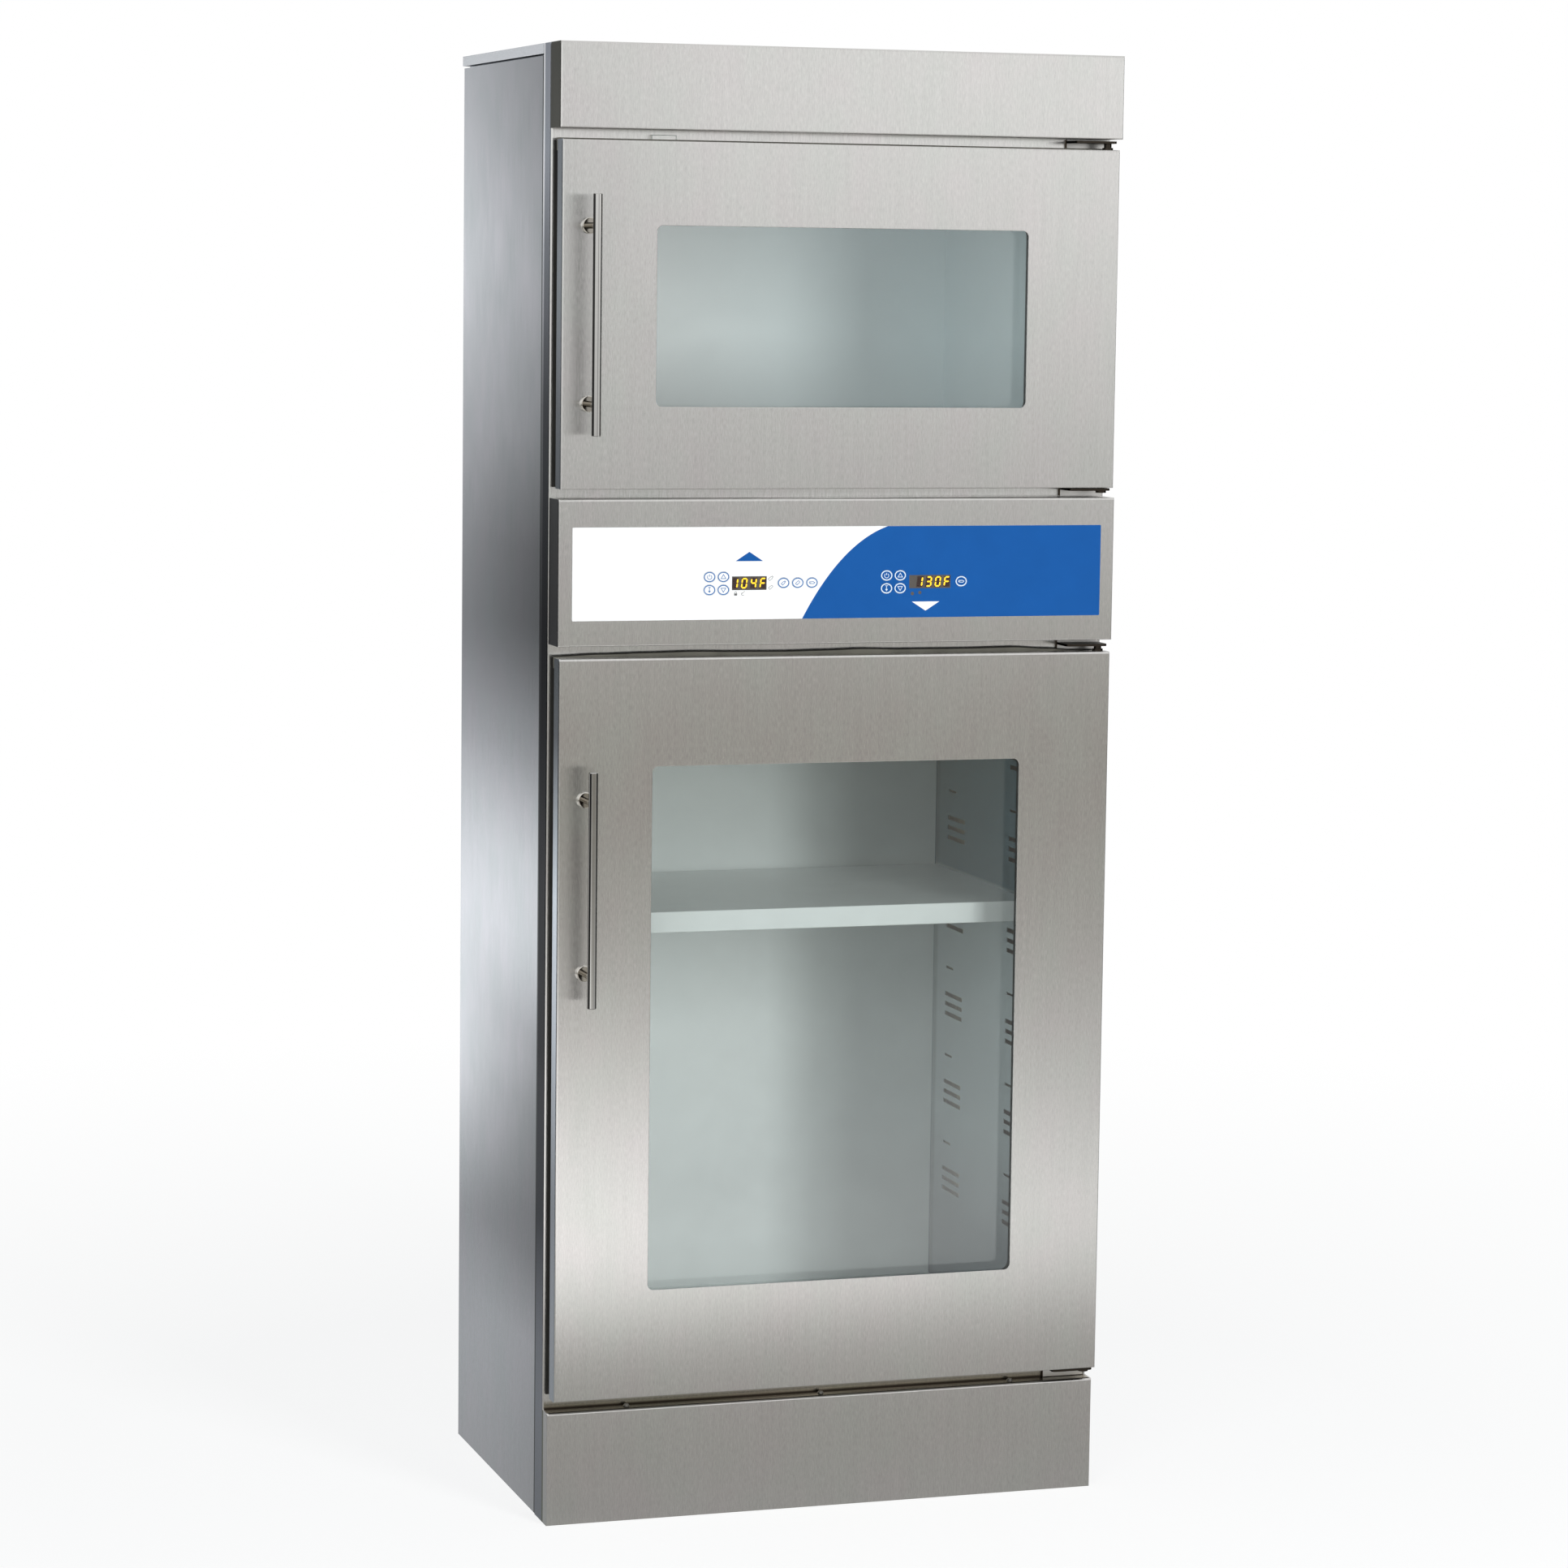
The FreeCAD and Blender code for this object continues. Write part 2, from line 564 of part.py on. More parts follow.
def insulation(floor, ceiling, bottom):
    """Foil-faced board around a chamber, its side ducts and the plenum over it."""
    shell = LINER_SKIN
    lid = ceiling + shell + PLENUM_HEIGHT
    outer = block(-INSIDE_X, INSIDE_X, INSIDE_FRONT, INSIDE_BACK, bottom, lid + LID_INSULATION)
    duct = CHAMBER_X + shell + DUCT_GAP
    hollow = block(-duct, duct, INSIDE_FRONT - SKIN, CHAMBER_BACK + shell, floor - shell, lid)
    shaft_hole = rod(SHAFT_HOLE_RADIUS, at(0, CHAMBER_MIDDLE, lid - SKIN), LID_INSULATION + 2 * SKIN, UP)
    probe_room = rod(PROBE_FLANGE_RADIUS, probe_point(ceiling), PROBE_LENGTH, BACKWARD)
    return outer.cut([hollow, shaft_hole, probe_room] + back_screw_holes())


def temperature_probes():
    """One probe through each chamber's back wall, flanged on the inside."""
    probes = []
    for _, ceiling in CHAMBERS.values():
        point = probe_point(ceiling)
        probes.append(merge([
            rod(PROBE_FLANGE_RADIUS, point, PROBE_FLANGE, OUTWARD),
            rod(PROBE_RADIUS, point + BACKWARD * LINER_SKIN, PROBE_LENGTH, OUTWARD),
        ]))
    return Part.makeCompound(probes)


def shelf_top():
    group_z = lower_groups()[GROUP_COUNT_UNDER_SHELF]
    return group_z + CLIP_SLOT_RISE + CLIP_SEAT_RISE + SHELF_SKIN


def lower_shelf():
    """Flat shelf with a deep front and back lip."""
    x = CHAMBER_X - SHELF_SIDE_CLEARANCE
    front = SEAM + SHELF_FRONT_SETBACK
    back = CHAMBER_BACK - SHELF_BACK_CLEARANCE
    top = shelf_top()
    body = soften_front(block(-x, x, front, back, top - SHELF_LIP, top), front, EDGE_RADIUS)
    hollow = block(-x - SKIN, x + SKIN, front + SHELF_SKIN, back - SHELF_SKIN,
                   top - SHELF_LIP - SHELF_SKIN, top - SHELF_SKIN)
    return body.cut(hollow)


def shelf_clip(side, column):
    """Sheet clip: a hook through its slot, a leg on the wall and a tab under the shelf."""
    y, slot_z = clip_slot(lower_groups()[GROUP_COUNT_UNDER_SHELF], column)
    seat = slot_z + CLIP_SEAT_RISE

    def piece(x_in, x_out, z0, z1):
        lo, hi = min(side * x_in, side * x_out), max(side * x_in, side * x_out)
        return block(lo, hi, y - CLIP_WIDTH / 2, y + CLIP_WIDTH / 2, z0, z1)

    leg = piece(CHAMBER_X - CLIP_LEG, CHAMBER_X, seat - CLIP_DROP, seat)
    tab = piece(CHAMBER_X - CLIP_REACH, CHAMBER_X, seat - CLIP_LEG, seat)
    hook = piece(CHAMBER_X - CLIP_LEG, CHAMBER_X + LINER_SKIN + CLIP_HOOK,
                 slot_z - CLIP_HOOK_HEIGHT / 2, slot_z + CLIP_HOOK_HEIGHT / 2)
    return merge([leg, tab, hook])


def shelf_clips():
    return Part.makeCompound([shelf_clip(side, column) for side in (-1, 1) for column in SLOT_COLUMNS])


# ================================================================ air
def motor_base(ceiling):
    return ceiling + LINER_SKIN + PLENUM_HEIGHT + LID_INSULATION


def blower_wheel(ceiling):
    """Backward-facing wheel: an upper disc, a lower ring, blades, a hub and its shaft."""
    base = ceiling + LINER_SKIN + WHEEL_LIFT
    centre = at(0, CHAMBER_MIDDLE, base)
    top = centre + UP * (WHEEL_HEIGHT - WHEEL_SHEET)
    ring = rod(WHEEL_RADIUS, centre, WHEEL_SHEET, UP).cut(rod(WHEEL_INNER_RADIUS, centre, WHEEL_SHEET, UP))
    disc = rod(WHEEL_RADIUS, top, WHEEL_SHEET, UP)
    blades = []
    for index in range(BLADE_COUNT):
        blade = block(WHEEL_INNER_RADIUS, WHEEL_RADIUS - WHEEL_SHEET,
                      -BLADE_THICKNESS / 2, BLADE_THICKNESS / 2, 0, WHEEL_HEIGHT)
        blade.rotate(at((WHEEL_INNER_RADIUS + WHEEL_RADIUS) / 2, 0, 0), UP, BLADE_ANGLE)
        blade.rotate(at(0, 0, 0), UP, 360 * index / BLADE_COUNT)
        blade.translate(centre)
        blades.append(blade)
    shaft_length = motor_base(ceiling) + MOTOR_PLATE + SHAFT_ENGAGEMENT - base
    hub = rod(WHEEL_HUB_RADIUS, centre, WHEEL_HEIGHT, UP)
    rim = rod(WHEEL_RADIUS, centre, WHEEL_HEIGHT, UP)
    blade_set = blades[0].multiFuse(blades[1:]).common(rim)
    return merge([disc, ring, hub, blade_set, rod(SHAFT_RADIUS, centre, shaft_length, UP)])


def blower_motor(ceiling):
    """Motor on its mounting plate, over the insulation."""
    lid = motor_base(ceiling)
    base = at(0, CHAMBER_MIDDLE, lid)
    half = MOTOR_PLATE_WIDTH / 2
    plate = block(-half, half, CHAMBER_MIDDLE - half, CHAMBER_MIDDLE + half, lid, lid + MOTOR_PLATE)
    body = rod(MOTOR_RADIUS, base + UP * MOTOR_PLATE, MOTOR_HEIGHT, UP)
    bore = rod(SHAFT_RADIUS + SHAFT_CLEARANCE, base, MOTOR_PLATE + SHAFT_ENGAGEMENT + SHAFT_CLEARANCE, UP)
    return merge([plate, body]).cut(bore)


def heater(ceiling):
    """Ring heater around the wheel, on three feet."""
    base = ceiling + LINER_SKIN
    ring = Part.makeTorus(HEATER_RADIUS, HEATER_TUBE, at(0, CHAMBER_MIDDLE, base + HEATER_LIFT), UP)
    feet = []
    for index in range(HEATER_FEET):
        angle = 2 * math.pi * index / HEATER_FEET + math.pi / 2
        x = HEATER_RADIUS * math.cos(angle)
        y = CHAMBER_MIDDLE + HEATER_RADIUS * math.sin(angle)
        feet.append(block(x - HEATER_FOOT / 2, x + HEATER_FOOT / 2, y - HEATER_FOOT / 2, y + HEATER_FOOT / 2,
                          base, base + HEATER_LIFT))
    return merge([ring] + feet)


# ================================================================ control panel
def pad_keys(chamber, pad_x):
    """Names and centres of a chamber's four keys beside its display."""
    left, right = pad_x - KEY_PITCH_X / 2, pad_x + KEY_PITCH_X / 2
    low, high = ROW_Z - KEY_PITCH_Z / 2, ROW_Z + KEY_PITCH_Z / 2
    return {
        chamber + "_power_key": (left, high),
        chamber + "_raise_key": (right, high),
        chamber + "_set_key": (left, low),
        chamber + "_lower_key": (right, low),
    }


def key_centres():
    keys = pad_keys("upper", UPPER_PAD_X)
    for index, name in enumerate(("bottle", "bag", "blanket")):
        keys["upper_" + name + "_key"] = (UPPER_ROW_X + (index - 1) * UPPER_ROW_PITCH, ROW_Z)
    keys.update(pad_keys("lower", LOWER_PAD_X))
    keys["lower_blanket_key"] = (LOWER_MODE_X, ROW_Z)
    return keys


def oval(x, z, y, depth, grow):
    """An oval plate of four tangent arcs, with its front at y."""
    side = KEY_WIDTH / 2 - KEY_END_RADIUS
    rise = KEY_HEIGHT / 2 - KEY_END_RADIUS
    drop = (side ** 2 - rise ** 2) / (2 * rise)
    reach = (KEY_END_RADIUS + grow) / math.hypot(side, drop)
    tangent_x = side + side * reach
    tangent_z = drop * reach
    half_width = KEY_WIDTH / 2 + grow
    half_height = KEY_HEIGHT / 2 + grow
    corners = [at(x + sx * tangent_x, y, z + sz * tangent_z)
               for sx, sz in ((1, -1), (1, 1), (-1, 1), (-1, -1))]
    crowns = [at(x + half_width, y, z), at(x, y, z + half_height),
              at(x - half_width, y, z), at(x, y, z - half_height)]
    arcs = [Part.Arc(corners[i], crowns[i], corners[(i + 1) % 4]).toShape() for i in range(4)]
    return Part.Face(Part.Wire(arcs)).extrude(BACKWARD * depth)


def key(x, z):
    return oval(x, z, OVERLAY_FRONT - KEY_PROUD, KEY_THICKNESS, 0)


def display_block(chamber, y0, y1, grow):
    x, width = DISPLAYS[chamber]
    return block(x - width / 2 - grow, x + width / 2 + grow, y0, y1,
                 ROW_Z - DISPLAY_HEIGHT / 2 - grow, ROW_Z + DISPLAY_HEIGHT / 2 + grow)


def control_overlay():
    """Printed front sheet with its key and display openings."""
    body = rounded_block(-OVERLAY_X, OVERLAY_X, OVERLAY_FRONT, PANEL_FRONT,
                         OVERLAY_Z - OVERLAY_HEIGHT / 2, OVERLAY_Z + OVERLAY_HEIGHT / 2, OVERLAY_CORNER)
    start = OVERLAY_FRONT - OVERLAY_THICKNESS
    cuts = [oval(x, z, start, 3 * OVERLAY_THICKNESS, KEY_CLEARANCE) for x, z in key_centres().values()]
    cuts += [display_block(chamber, start, PANEL_FRONT + SKIN, DISPLAY_CLEARANCE) for chamber in DISPLAYS]
    return body.cut(cuts)


def board_studs():
    x = BOARD_WIDTH / 2 - BOARD_STUD_INSET
    z = BOARD_HEIGHT / 2 - BOARD_STUD_INSET
    start = PANEL_FRONT + SKIN
    return [rod(BOARD_STUD_RADIUS, at(sx * x, start, ROW_Z + sz * z), BOARD_FRONT - start, BACKWARD)
            for sx in (-1, 1) for sz in (-1, 1)]


def control_housing():
    """Box between the doors, with studs for the circuit board."""
    body = front_box(-HOUSING_X, HOUSING_X, PANEL_FRONT, FRONT, PANEL_BOTTOM, PANEL_TOP)
    windows = [display_block(chamber, PANEL_FRONT - SKIN, PANEL_FRONT + 2 * SKIN, DISPLAY_CLEARANCE)
               for chamber in DISPLAYS]
    return merge([body.cut(windows)] + board_studs())


def control_board():
    return block(-BOARD_WIDTH / 2, BOARD_WIDTH / 2, BOARD_FRONT, BOARD_FRONT + BOARD_THICKNESS,
                 ROW_Z - BOARD_HEIGHT / 2, ROW_Z + BOARD_HEIGHT / 2)


# ================================================================ doors
def window_block(window, y0, y1, grow):
    """A block of the window's outline, from y0 to y1, that much larger on every side."""
    bottom, top = window
    return rounded_block(-WINDOW_X - grow, WINDOW_X + grow, y0, y1, bottom - grow, top + grow,
                         WINDOW_RADIUS + grow)


def post_heights(handle_z):
    return (handle_z - HANDLE_CENTRES / 2, handle_z + HANDLE_CENTRES / 2)


def door_shell(bottom, top, window, handle_z):
    """Outer skin, folded on four sides, with the window, pivot and handle holes."""
    outside = block(-DOOR_X, DOOR_X, DOOR_FRONT, SHELL_BACK, bottom, top)
    hollow = block(-DOOR_X + SKIN, DOOR_X - SKIN, DOOR_FRONT + SKIN, SHELL_BACK - SKIN,
                   bottom + SKIN, top - SKIN)
    rear = block(-DOOR_X + DOOR_LIP, DOOR_X - DOOR_LIP, SHELL_BACK - SKIN, SHELL_BACK,
                 bottom + DOOR_LIP, top - DOOR_LIP)
    pane = window_block(window, DOOR_FRONT - SKIN, DOOR_FRONT + 2 * SKIN, 0)
    pivot = rod(PIVOT_RADIUS + PIVOT_CLEARANCE, at(PIVOT_X, PIVOT_Y, bottom - SKIN),
                top - bottom + 2 * SKIN, UP)
    studs = [rod(STUD_RADIUS + STUD_CLEARANCE, at(HANDLE_X, DOOR_FRONT - SKIN, z), 3 * SKIN, BACKWARD)
             for z in post_heights(handle_z)]
    return soften_front(outside, DOOR_FRONT, EDGE_RADIUS).cut([hollow, rear, pane, pivot] + studs)


def door_inner_pan(bottom, top, window):
    """Chamber-side skin, with a collar around the window that reaches the outer glass."""
    x = DOOR_X - INNER_PAN_INSET
    z0, z1 = bottom + INNER_PAN_INSET, top - INNER_PAN_INSET
    tray = block(-x, x, SHELL_BACK, PAN_BACK, z0, z1)
    tray = tray.cut(block(-x + SKIN, x - SKIN, SHELL_BACK, PAN_BACK - SKIN, z0 + SKIN, z1 - SKIN))
    collar = window_block(window, DOOR_FRONT + SKIN + OUTER_GLASS, PAN_BACK, SIGHT_MARGIN + SKIN)
    opening = window_block(window, DOOR_FRONT, PAN_BACK + SKIN, SIGHT_MARGIN)
    return merge([tray, collar]).cut(opening)


def door_gasket(bottom, top):
    """Rubber ring between the door and the front frame."""
    x = DOOR_X - GASKET_INSET
    z0, z1 = bottom + GASKET_INSET, top - GASKET_INSET
    y1 = FRONT - GASKET_CLEARANCE
    ring = block(-x, x, PAN_BACK, y1, z0, z1)
    return ring.cut(block(-x + GASKET_WIDTH, x - GASKET_WIDTH, PAN_BACK - SKIN, y1 + SKIN,
                          z0 + GASKET_WIDTH, z1 - GASKET_WIDTH))


def outer_glass(window):
    bottom, top = window
    lap = SIGHT_MARGIN + SKIN + OUTER_GLASS_LAP
    x = WINDOW_X + lap
    start = DOOR_FRONT + SKIN
    return block(-x, x, start, start + OUTER_GLASS, bottom - lap, top + lap)


def inner_glass(window):
    end = PAN_BACK - INNER_GLASS_SETBACK
    return window_block(window, end - INNER_GLASS, end, SIGHT_MARGIN - INNER_GLASS_CLEARANCE)


def handle_bar(handle_z):
    start = at(HANDLE_X, HANDLE_Y, handle_z - HANDLE_LENGTH / 2)
    bar = rod(HANDLE_RADIUS, start, HANDLE_LENGTH, UP)
    rims = [edge for edge in bar.Edges if isinstance(edge.Curve, Part.Circle)]
    return bar.makeChamfer(HANDLE_CHAMFER, rims)


def handle_posts(handle_z):
    """Two posts with round rosettes, held by a stud and a nut behind the door's skin."""
    bar = rod(HANDLE_RADIUS, at(HANDLE_X, HANDLE_Y, handle_z - HANDLE_LENGTH / 2), HANDLE_LENGTH, UP)
    posts = []
    for z in post_heights(handle_z):
        foot = at(HANDLE_X, DOOR_FRONT, z)
        nut_end = foot + BACKWARD * (SKIN + NUT_HEIGHT)
        rosette = rod(ROSETTE_RADIUS, foot, ROSETTE_HEIGHT, OUTWARD)
        rim = [edge for edge in rosette.Edges
               if abs(edge.BoundBox.Center.y - DOOR_FRONT + ROSETTE_HEIGHT) < TOUCH]
        posts.append(merge([
            rosette.makeFillet(ROSETTE_EDGE, rim),
            rod(POST_RADIUS, foot, HANDLE_STANDOFF, OUTWARD),
            rod(STUD_RADIUS, nut_end, SKIN + NUT_HEIGHT, OUTWARD),
            rod(NUT_RADIUS, nut_end, NUT_HEIGHT, OUTWARD),
        ]).cut(bar))
    return Part.makeCompound(posts)


def hinge_bracket(door_edge, far_edge, plate_gap):
    """Plate in the gap between a door's edge and its neighbour, with the pivot pin and its washer.

    The washer lies on the door, or past the plate where the plate is too near the door.
    """
    up = 1 if far_edge > door_edge else -1
    plate_start = door_edge + up * plate_gap
    plate_end = plate_start + up * HINGE_PLATE
    washer_start = door_edge if plate_gap > WASHER_HEIGHT else plate_end
    pin_end = up * max(up * plate_end, up * washer_start + WASHER_HEIGHT)
    z0, z1 = min(plate_start, plate_end), max(plate_start, plate_end)
    right = PIVOT_X + HINGE_NOSE - SIDE_INSET
    left = right - HINGE_PLATE_WIDTH
    flange_z0 = min(door_edge, far_edge) + HINGE_FLANGE_MARGIN
    flange_z1 = max(door_edge, far_edge) - HINGE_FLANGE_MARGIN
    plate = block(left, right, PIVOT_Y - HINGE_NOSE, FRONT, z0, z1)
    corner = [edge for edge in plate.Edges
              if abs(edge.BoundBox.XLength) + abs(edge.BoundBox.YLength) < TOUCH
              and edge.BoundBox.Center.y < FRONT - SKIN]
    plate = plate.makeFillet(HINGE_NOSE / 2, corner)
    flange = block(left, right, FRONT - HINGE_FLANGE, FRONT, flange_z0, flange_z1)
    washer = rod(WASHER_RADIUS, at(PIVOT_X, PIVOT_Y, washer_start), WASHER_HEIGHT, UP * up)
    pin_start = door_edge - up * PIVOT_ENGAGEMENT
    pin = rod(PIVOT_RADIUS, at(PIVOT_X, PIVOT_Y, pin_start), abs(pin_end - pin_start), UP * up)
    return merge([plate, flange, washer, pin])


def door_sensor():
    """Closed-door sensor on the frame, over the upper door's gasket."""
    z0 = UPPER_DOOR_TOP - SENSOR_OVERLAP
    return block(SENSOR_X - SENSOR_WIDTH / 2, SENSOR_X + SENSOR_WIDTH / 2, FRONT - SENSOR_DEPTH, FRONT,
                 z0, z0 + SENSOR_HEIGHT)


# ================================================================ build
def build():
    os.makedirs("parts", exist_ok=True)
    write("left_side_panel", side_panel(-1))
    write("right_side_panel", side_panel(1))
    write("back_panel", back_panel())
    write("top_cap", top_cap())
    write("front_frame", front_frame())
    write("header_panel", header_panel())
    write("kick_panel", kick_panel())
    write("base_pan", base_pan())
    write("panel_screws", panel_screws())
    write("cord_gland", cord_gland())
    write("temperature_probes", temperature_probes())
    write("lower_shelf", lower_shelf())
    write("shelf_clips", shelf_clips())
    bottoms = {"lower": KICK_HEIGHT, "upper": UPPER_FLOOR - LINER_SKIN - FLOOR_INSULATION}
    side_cuts = {
        "lower": group_slots(lower_groups()) + clip_slots(),
        "upper": group_slots([UPPER_FLOOR + UPPER_GROUP_RISE]),
    }
    for chamber, (floor, ceiling) in CHAMBERS.items():
        write(chamber + "_liner", liner(floor, ceiling, side_cuts[chamber]))
        write(chamber + "_insulation", insulation(floor, ceiling, bottoms[chamber]))
        write(chamber + "_blower_wheel", blower_wheel(ceiling))
        write(chamber + "_blower_motor", blower_motor(ceiling))
        write(chamber + "_heater", heater(ceiling))
    write("control_housing", control_housing())
    write("control_overlay", control_overlay())
    write("control_board", control_board())
    for chamber in DISPLAYS:
        start = OVERLAY_FRONT + DISPLAY_RECESS
        write(chamber + "_display", display_block(chamber, start, BOARD_FRONT, 0))
    for name, (x, z) in key_centres().items():
        write(name, key(x, z))
    for name, (bottom, top, window, handle_z) in DOORS.items():
        write(name + "_door_shell", door_shell(bottom, top, window, handle_z))
        write(name + "_door_inner_pan", door_inner_pan(bottom, top, window))
        write(name + "_door_gasket", door_gasket(bottom, top))
        write(name + "_outer_glass", outer_glass(window))
        write(name + "_inner_glass", inner_glass(window))
        write(name + "_handle_bar", handle_bar(handle_z))
        write(name + "_handle_posts", handle_posts(handle_z))
    write("lower_door_bottom_hinge", hinge_bracket(LOWER_DOOR_BOTTOM, KICK_HEIGHT, LOW_PLATE_GAP))
    write("lower_door_top_hinge", hinge_bracket(LOWER_DOOR_TOP, PANEL_BOTTOM, LOWER_TOP_PLATE_GAP))
    write("upper_door_bottom_hinge", hinge_bracket(UPPER_DOOR_BOTTOM, PANEL_TOP, LOW_PLATE_GAP))
    write("upper_door_top_hinge", hinge_bracket(UPPER_DOOR_TOP, HEADER_BOTTOM, UPPER_TOP_PLATE_GAP))
    write("door_sensor", door_sensor())


build()
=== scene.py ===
"""Looks of the two-chamber blanket warming cabinet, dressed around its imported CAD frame.

Metres, +Z up, +X to the right of someone who faces the doors, -Y towards that person.
"""
import math

import bmesh
import bpy
from bpy.props import FloatProperty, FloatVectorProperty, IntProperty, PointerProperty
from mathutils import Matrix, Vector


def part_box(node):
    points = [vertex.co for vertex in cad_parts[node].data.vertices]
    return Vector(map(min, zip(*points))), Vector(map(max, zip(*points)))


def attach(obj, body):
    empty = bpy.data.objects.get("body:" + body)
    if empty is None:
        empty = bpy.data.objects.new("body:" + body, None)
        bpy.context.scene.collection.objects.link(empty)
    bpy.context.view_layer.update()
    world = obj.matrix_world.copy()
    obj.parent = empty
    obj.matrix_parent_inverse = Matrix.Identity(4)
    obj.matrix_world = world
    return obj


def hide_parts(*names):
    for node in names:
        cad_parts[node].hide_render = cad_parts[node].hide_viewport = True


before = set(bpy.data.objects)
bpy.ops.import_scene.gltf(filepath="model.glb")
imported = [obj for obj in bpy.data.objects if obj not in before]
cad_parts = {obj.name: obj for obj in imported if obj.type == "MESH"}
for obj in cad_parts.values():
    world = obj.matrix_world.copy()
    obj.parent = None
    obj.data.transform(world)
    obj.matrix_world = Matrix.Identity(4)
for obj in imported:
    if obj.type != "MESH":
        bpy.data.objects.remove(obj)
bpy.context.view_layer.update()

bl_info = {
    "name": "Blanket warming cabinet",
    "version": (1, 0, 0),
    "blender": (4, 5, 0),
    "location": "View3D > Sidebar > Cabinet",
    "description": "Finishes, prints and fits out a two-chamber blanket warming cabinet",
    "category": "Object",
}

MM = 0.001
WHITE = (1.0, 1.0, 1.0)
DOORS = ("lower", "upper")

# Which CAD nodes share a finish.
SIDE_SHEETS = ("left_side_panel", "right_side_panel", "back_panel")
HINGES = tuple(door + "_door_" + end + "_hinge" for door in DOORS for end in ("bottom", "top"))
HARDWARE = ("shelf_clips", "temperature_probes")
PANES = tuple(door + "_" + layer + "_glass" for layer in ("outer", "inner") for door in DOORS)
UPPER_KEYS = ("power", "raise", "set", "lower", "bottle", "bag", "blanket")
LOWER_KEYS = ("power", "raise", "set", "lower", "blanket")


# ================================================================ sizes and colours that a user would change
def colour_setting(name, description, default):
    return FloatVectorProperty(
        name=name, description=description, subtype="COLOR", size=3, min=0, max=1, default=default)


def length_setting(name, description, default):
    return FloatProperty(name=name, description=description, unit="LENGTH", default=default)


def share_setting(name, description, default):
    return FloatProperty(name=name, description=description, subtype="FACTOR", min=0, max=1, default=default)


def power_setting(name, description, default):
    return FloatProperty(name=name, description=description, unit="POWER", default=default)


class CabinetSteel(bpy.types.PropertyGroup):
    case_colour: colour_setting("Case steel", "Brushed front sheets", (0.635, 0.630, 0.615))
    side_colour: colour_setting("Side steel", "Brushed side and rear sheets", (0.628, 0.662, 0.712))
    chamber_colour: colour_setting("Chamber steel", "Satin sheets inside the chambers", (0.735, 0.750, 0.745))
    grain_width: length_setting("Grain width", "Width of one brushed streak", 0.0013)
    grain_length: length_setting("Grain length", "Length of one brushed streak", 0.0080)
    contrast: share_setting("Grain contrast", "How much lighter and darker the streaks are", 0.100)
    fold_radius: length_setting("Fold radius", "How softly the folds and edges catch the light", 0.0011)
    rolled_width: length_setting("Rolled width", "Width of the rolled fold round the front sheets", 0.0027)
    roughness: share_setting("Roughness", "Roughness of the brushed sheets", 0.24)
    spread: share_setting("Spread", "How far the grain spreads a highlight sideways", 0.9)


class CabinetPrint(bpy.types.PropertyGroup):
    film_colour: colour_setting("Film", "White of the printed overlay", (0.92, 0.925, 0.93))
    field_colour: colour_setting("Field", "Blue of the overlay's right-hand field", (0.0085, 0.094, 0.345))
    ring_colour: colour_setting(
        "Rings", "Blue of the rings and signs on the white keys", (0.060, 0.180, 0.430))
    field_foot: length_setting("Field foot", "Where the field starts on the overlay's lower edge", -0.0525)
    field_head: length_setting("Field head", "Where the field starts on the overlay's upper edge", 0.0635)
    ring_stroke: length_setting("Ring stroke", "Width of a key's ring", 0.0014)
    sign_stroke: length_setting("Sign stroke", "Width of a key sign's lines", 0.0008)
    digit_colour: colour_setting("Digits", "Amber of the lit segments", (1.0, 0.56, 0.02))
    digit_height: length_setting("Digit height", "Height of a figure", 0.0136)
    digit_width: length_setting("Digit width", "Width of a figure", 0.0080)
    digit_pitch: length_setting("Digit pitch", "From one figure to the next", 0.0125)
    digit_slant: FloatProperty(
        name="Digit slant", description="Sideways lean for each unit of height", default=0.12)


class CabinetSeals(bpy.types.PropertyGroup):
    lip_thickness: length_setting("Lip thickness", "Thickness of the loose lip over a door", 0.0012)
    bead_radius: length_setting("Bead radius", "Radius of the bead along that lip", 0.0008)
    # The upper door's lip over its edge is partly the gasket's lip and partly a painted shadow line over the
    # door.
    upper_rise: length_setting(
        "Upper rise", "How far the upper door's lip stands over the door's edge", 0.0014)


class CabinetScrews(bpy.types.PropertyGroup):
    head_radius: length_setting("Head radius", "Radius of a pan head", 0.0045)
    head_height: length_setting("Head height", "Height of a pan head", 0.0025)
    recess: length_setting("Recess", "Length of the cross recess", 0.0046)
    sides: IntProperty(name="Sides", description="Facets of a round head", default=28, min=8)


class CabinetStudio(bpy.types.PropertyGroup):
    ambient: FloatProperty(name="Ambient", description="Strength of the soft light all round", default=0.38)
    key_power: power_setting("Key light", "Power of the tall soft lamp", 115.0)
    fill_power: power_setting("Fill light", "Power of the opposite soft lamp", 50.0)
    shadow_share: share_setting("Shadow", "How much of the floor's light is the lamps' own", 0.32)


# ================================================================ node helpers
def fill(tree, node, inputs):
    """Gives a node's inputs plain values or other nodes' outputs."""
    for name, value in inputs.items():
        if isinstance(value, bpy.types.NodeSocket):
            tree.links.new(value, node.inputs[name])
        else:
            node.inputs[name].default_value = value


def add(tree, kind, inputs=None, **settings):
    """A new node with its settings and its inputs."""
    node = tree.nodes.new(kind)
    for name, value in settings.items():
        setattr(node, name, value)
    fill(tree, node, inputs or {})
    return node


def new_finish(name):
    """A material with its node tree and its Principled shader."""
    finish = bpy.data.materials.new(name)
    finish.use_nodes = True
    return finish, finish.node_tree, finish.node_tree.nodes["Principled BSDF"]


def axes(tree):
    """The piece's own X, Y and Z."""
    coords = add(tree, "ShaderNodeTexCoord").outputs["Object"]
    return add(tree, "ShaderNodeSeparateXYZ", {0: coords}).outputs


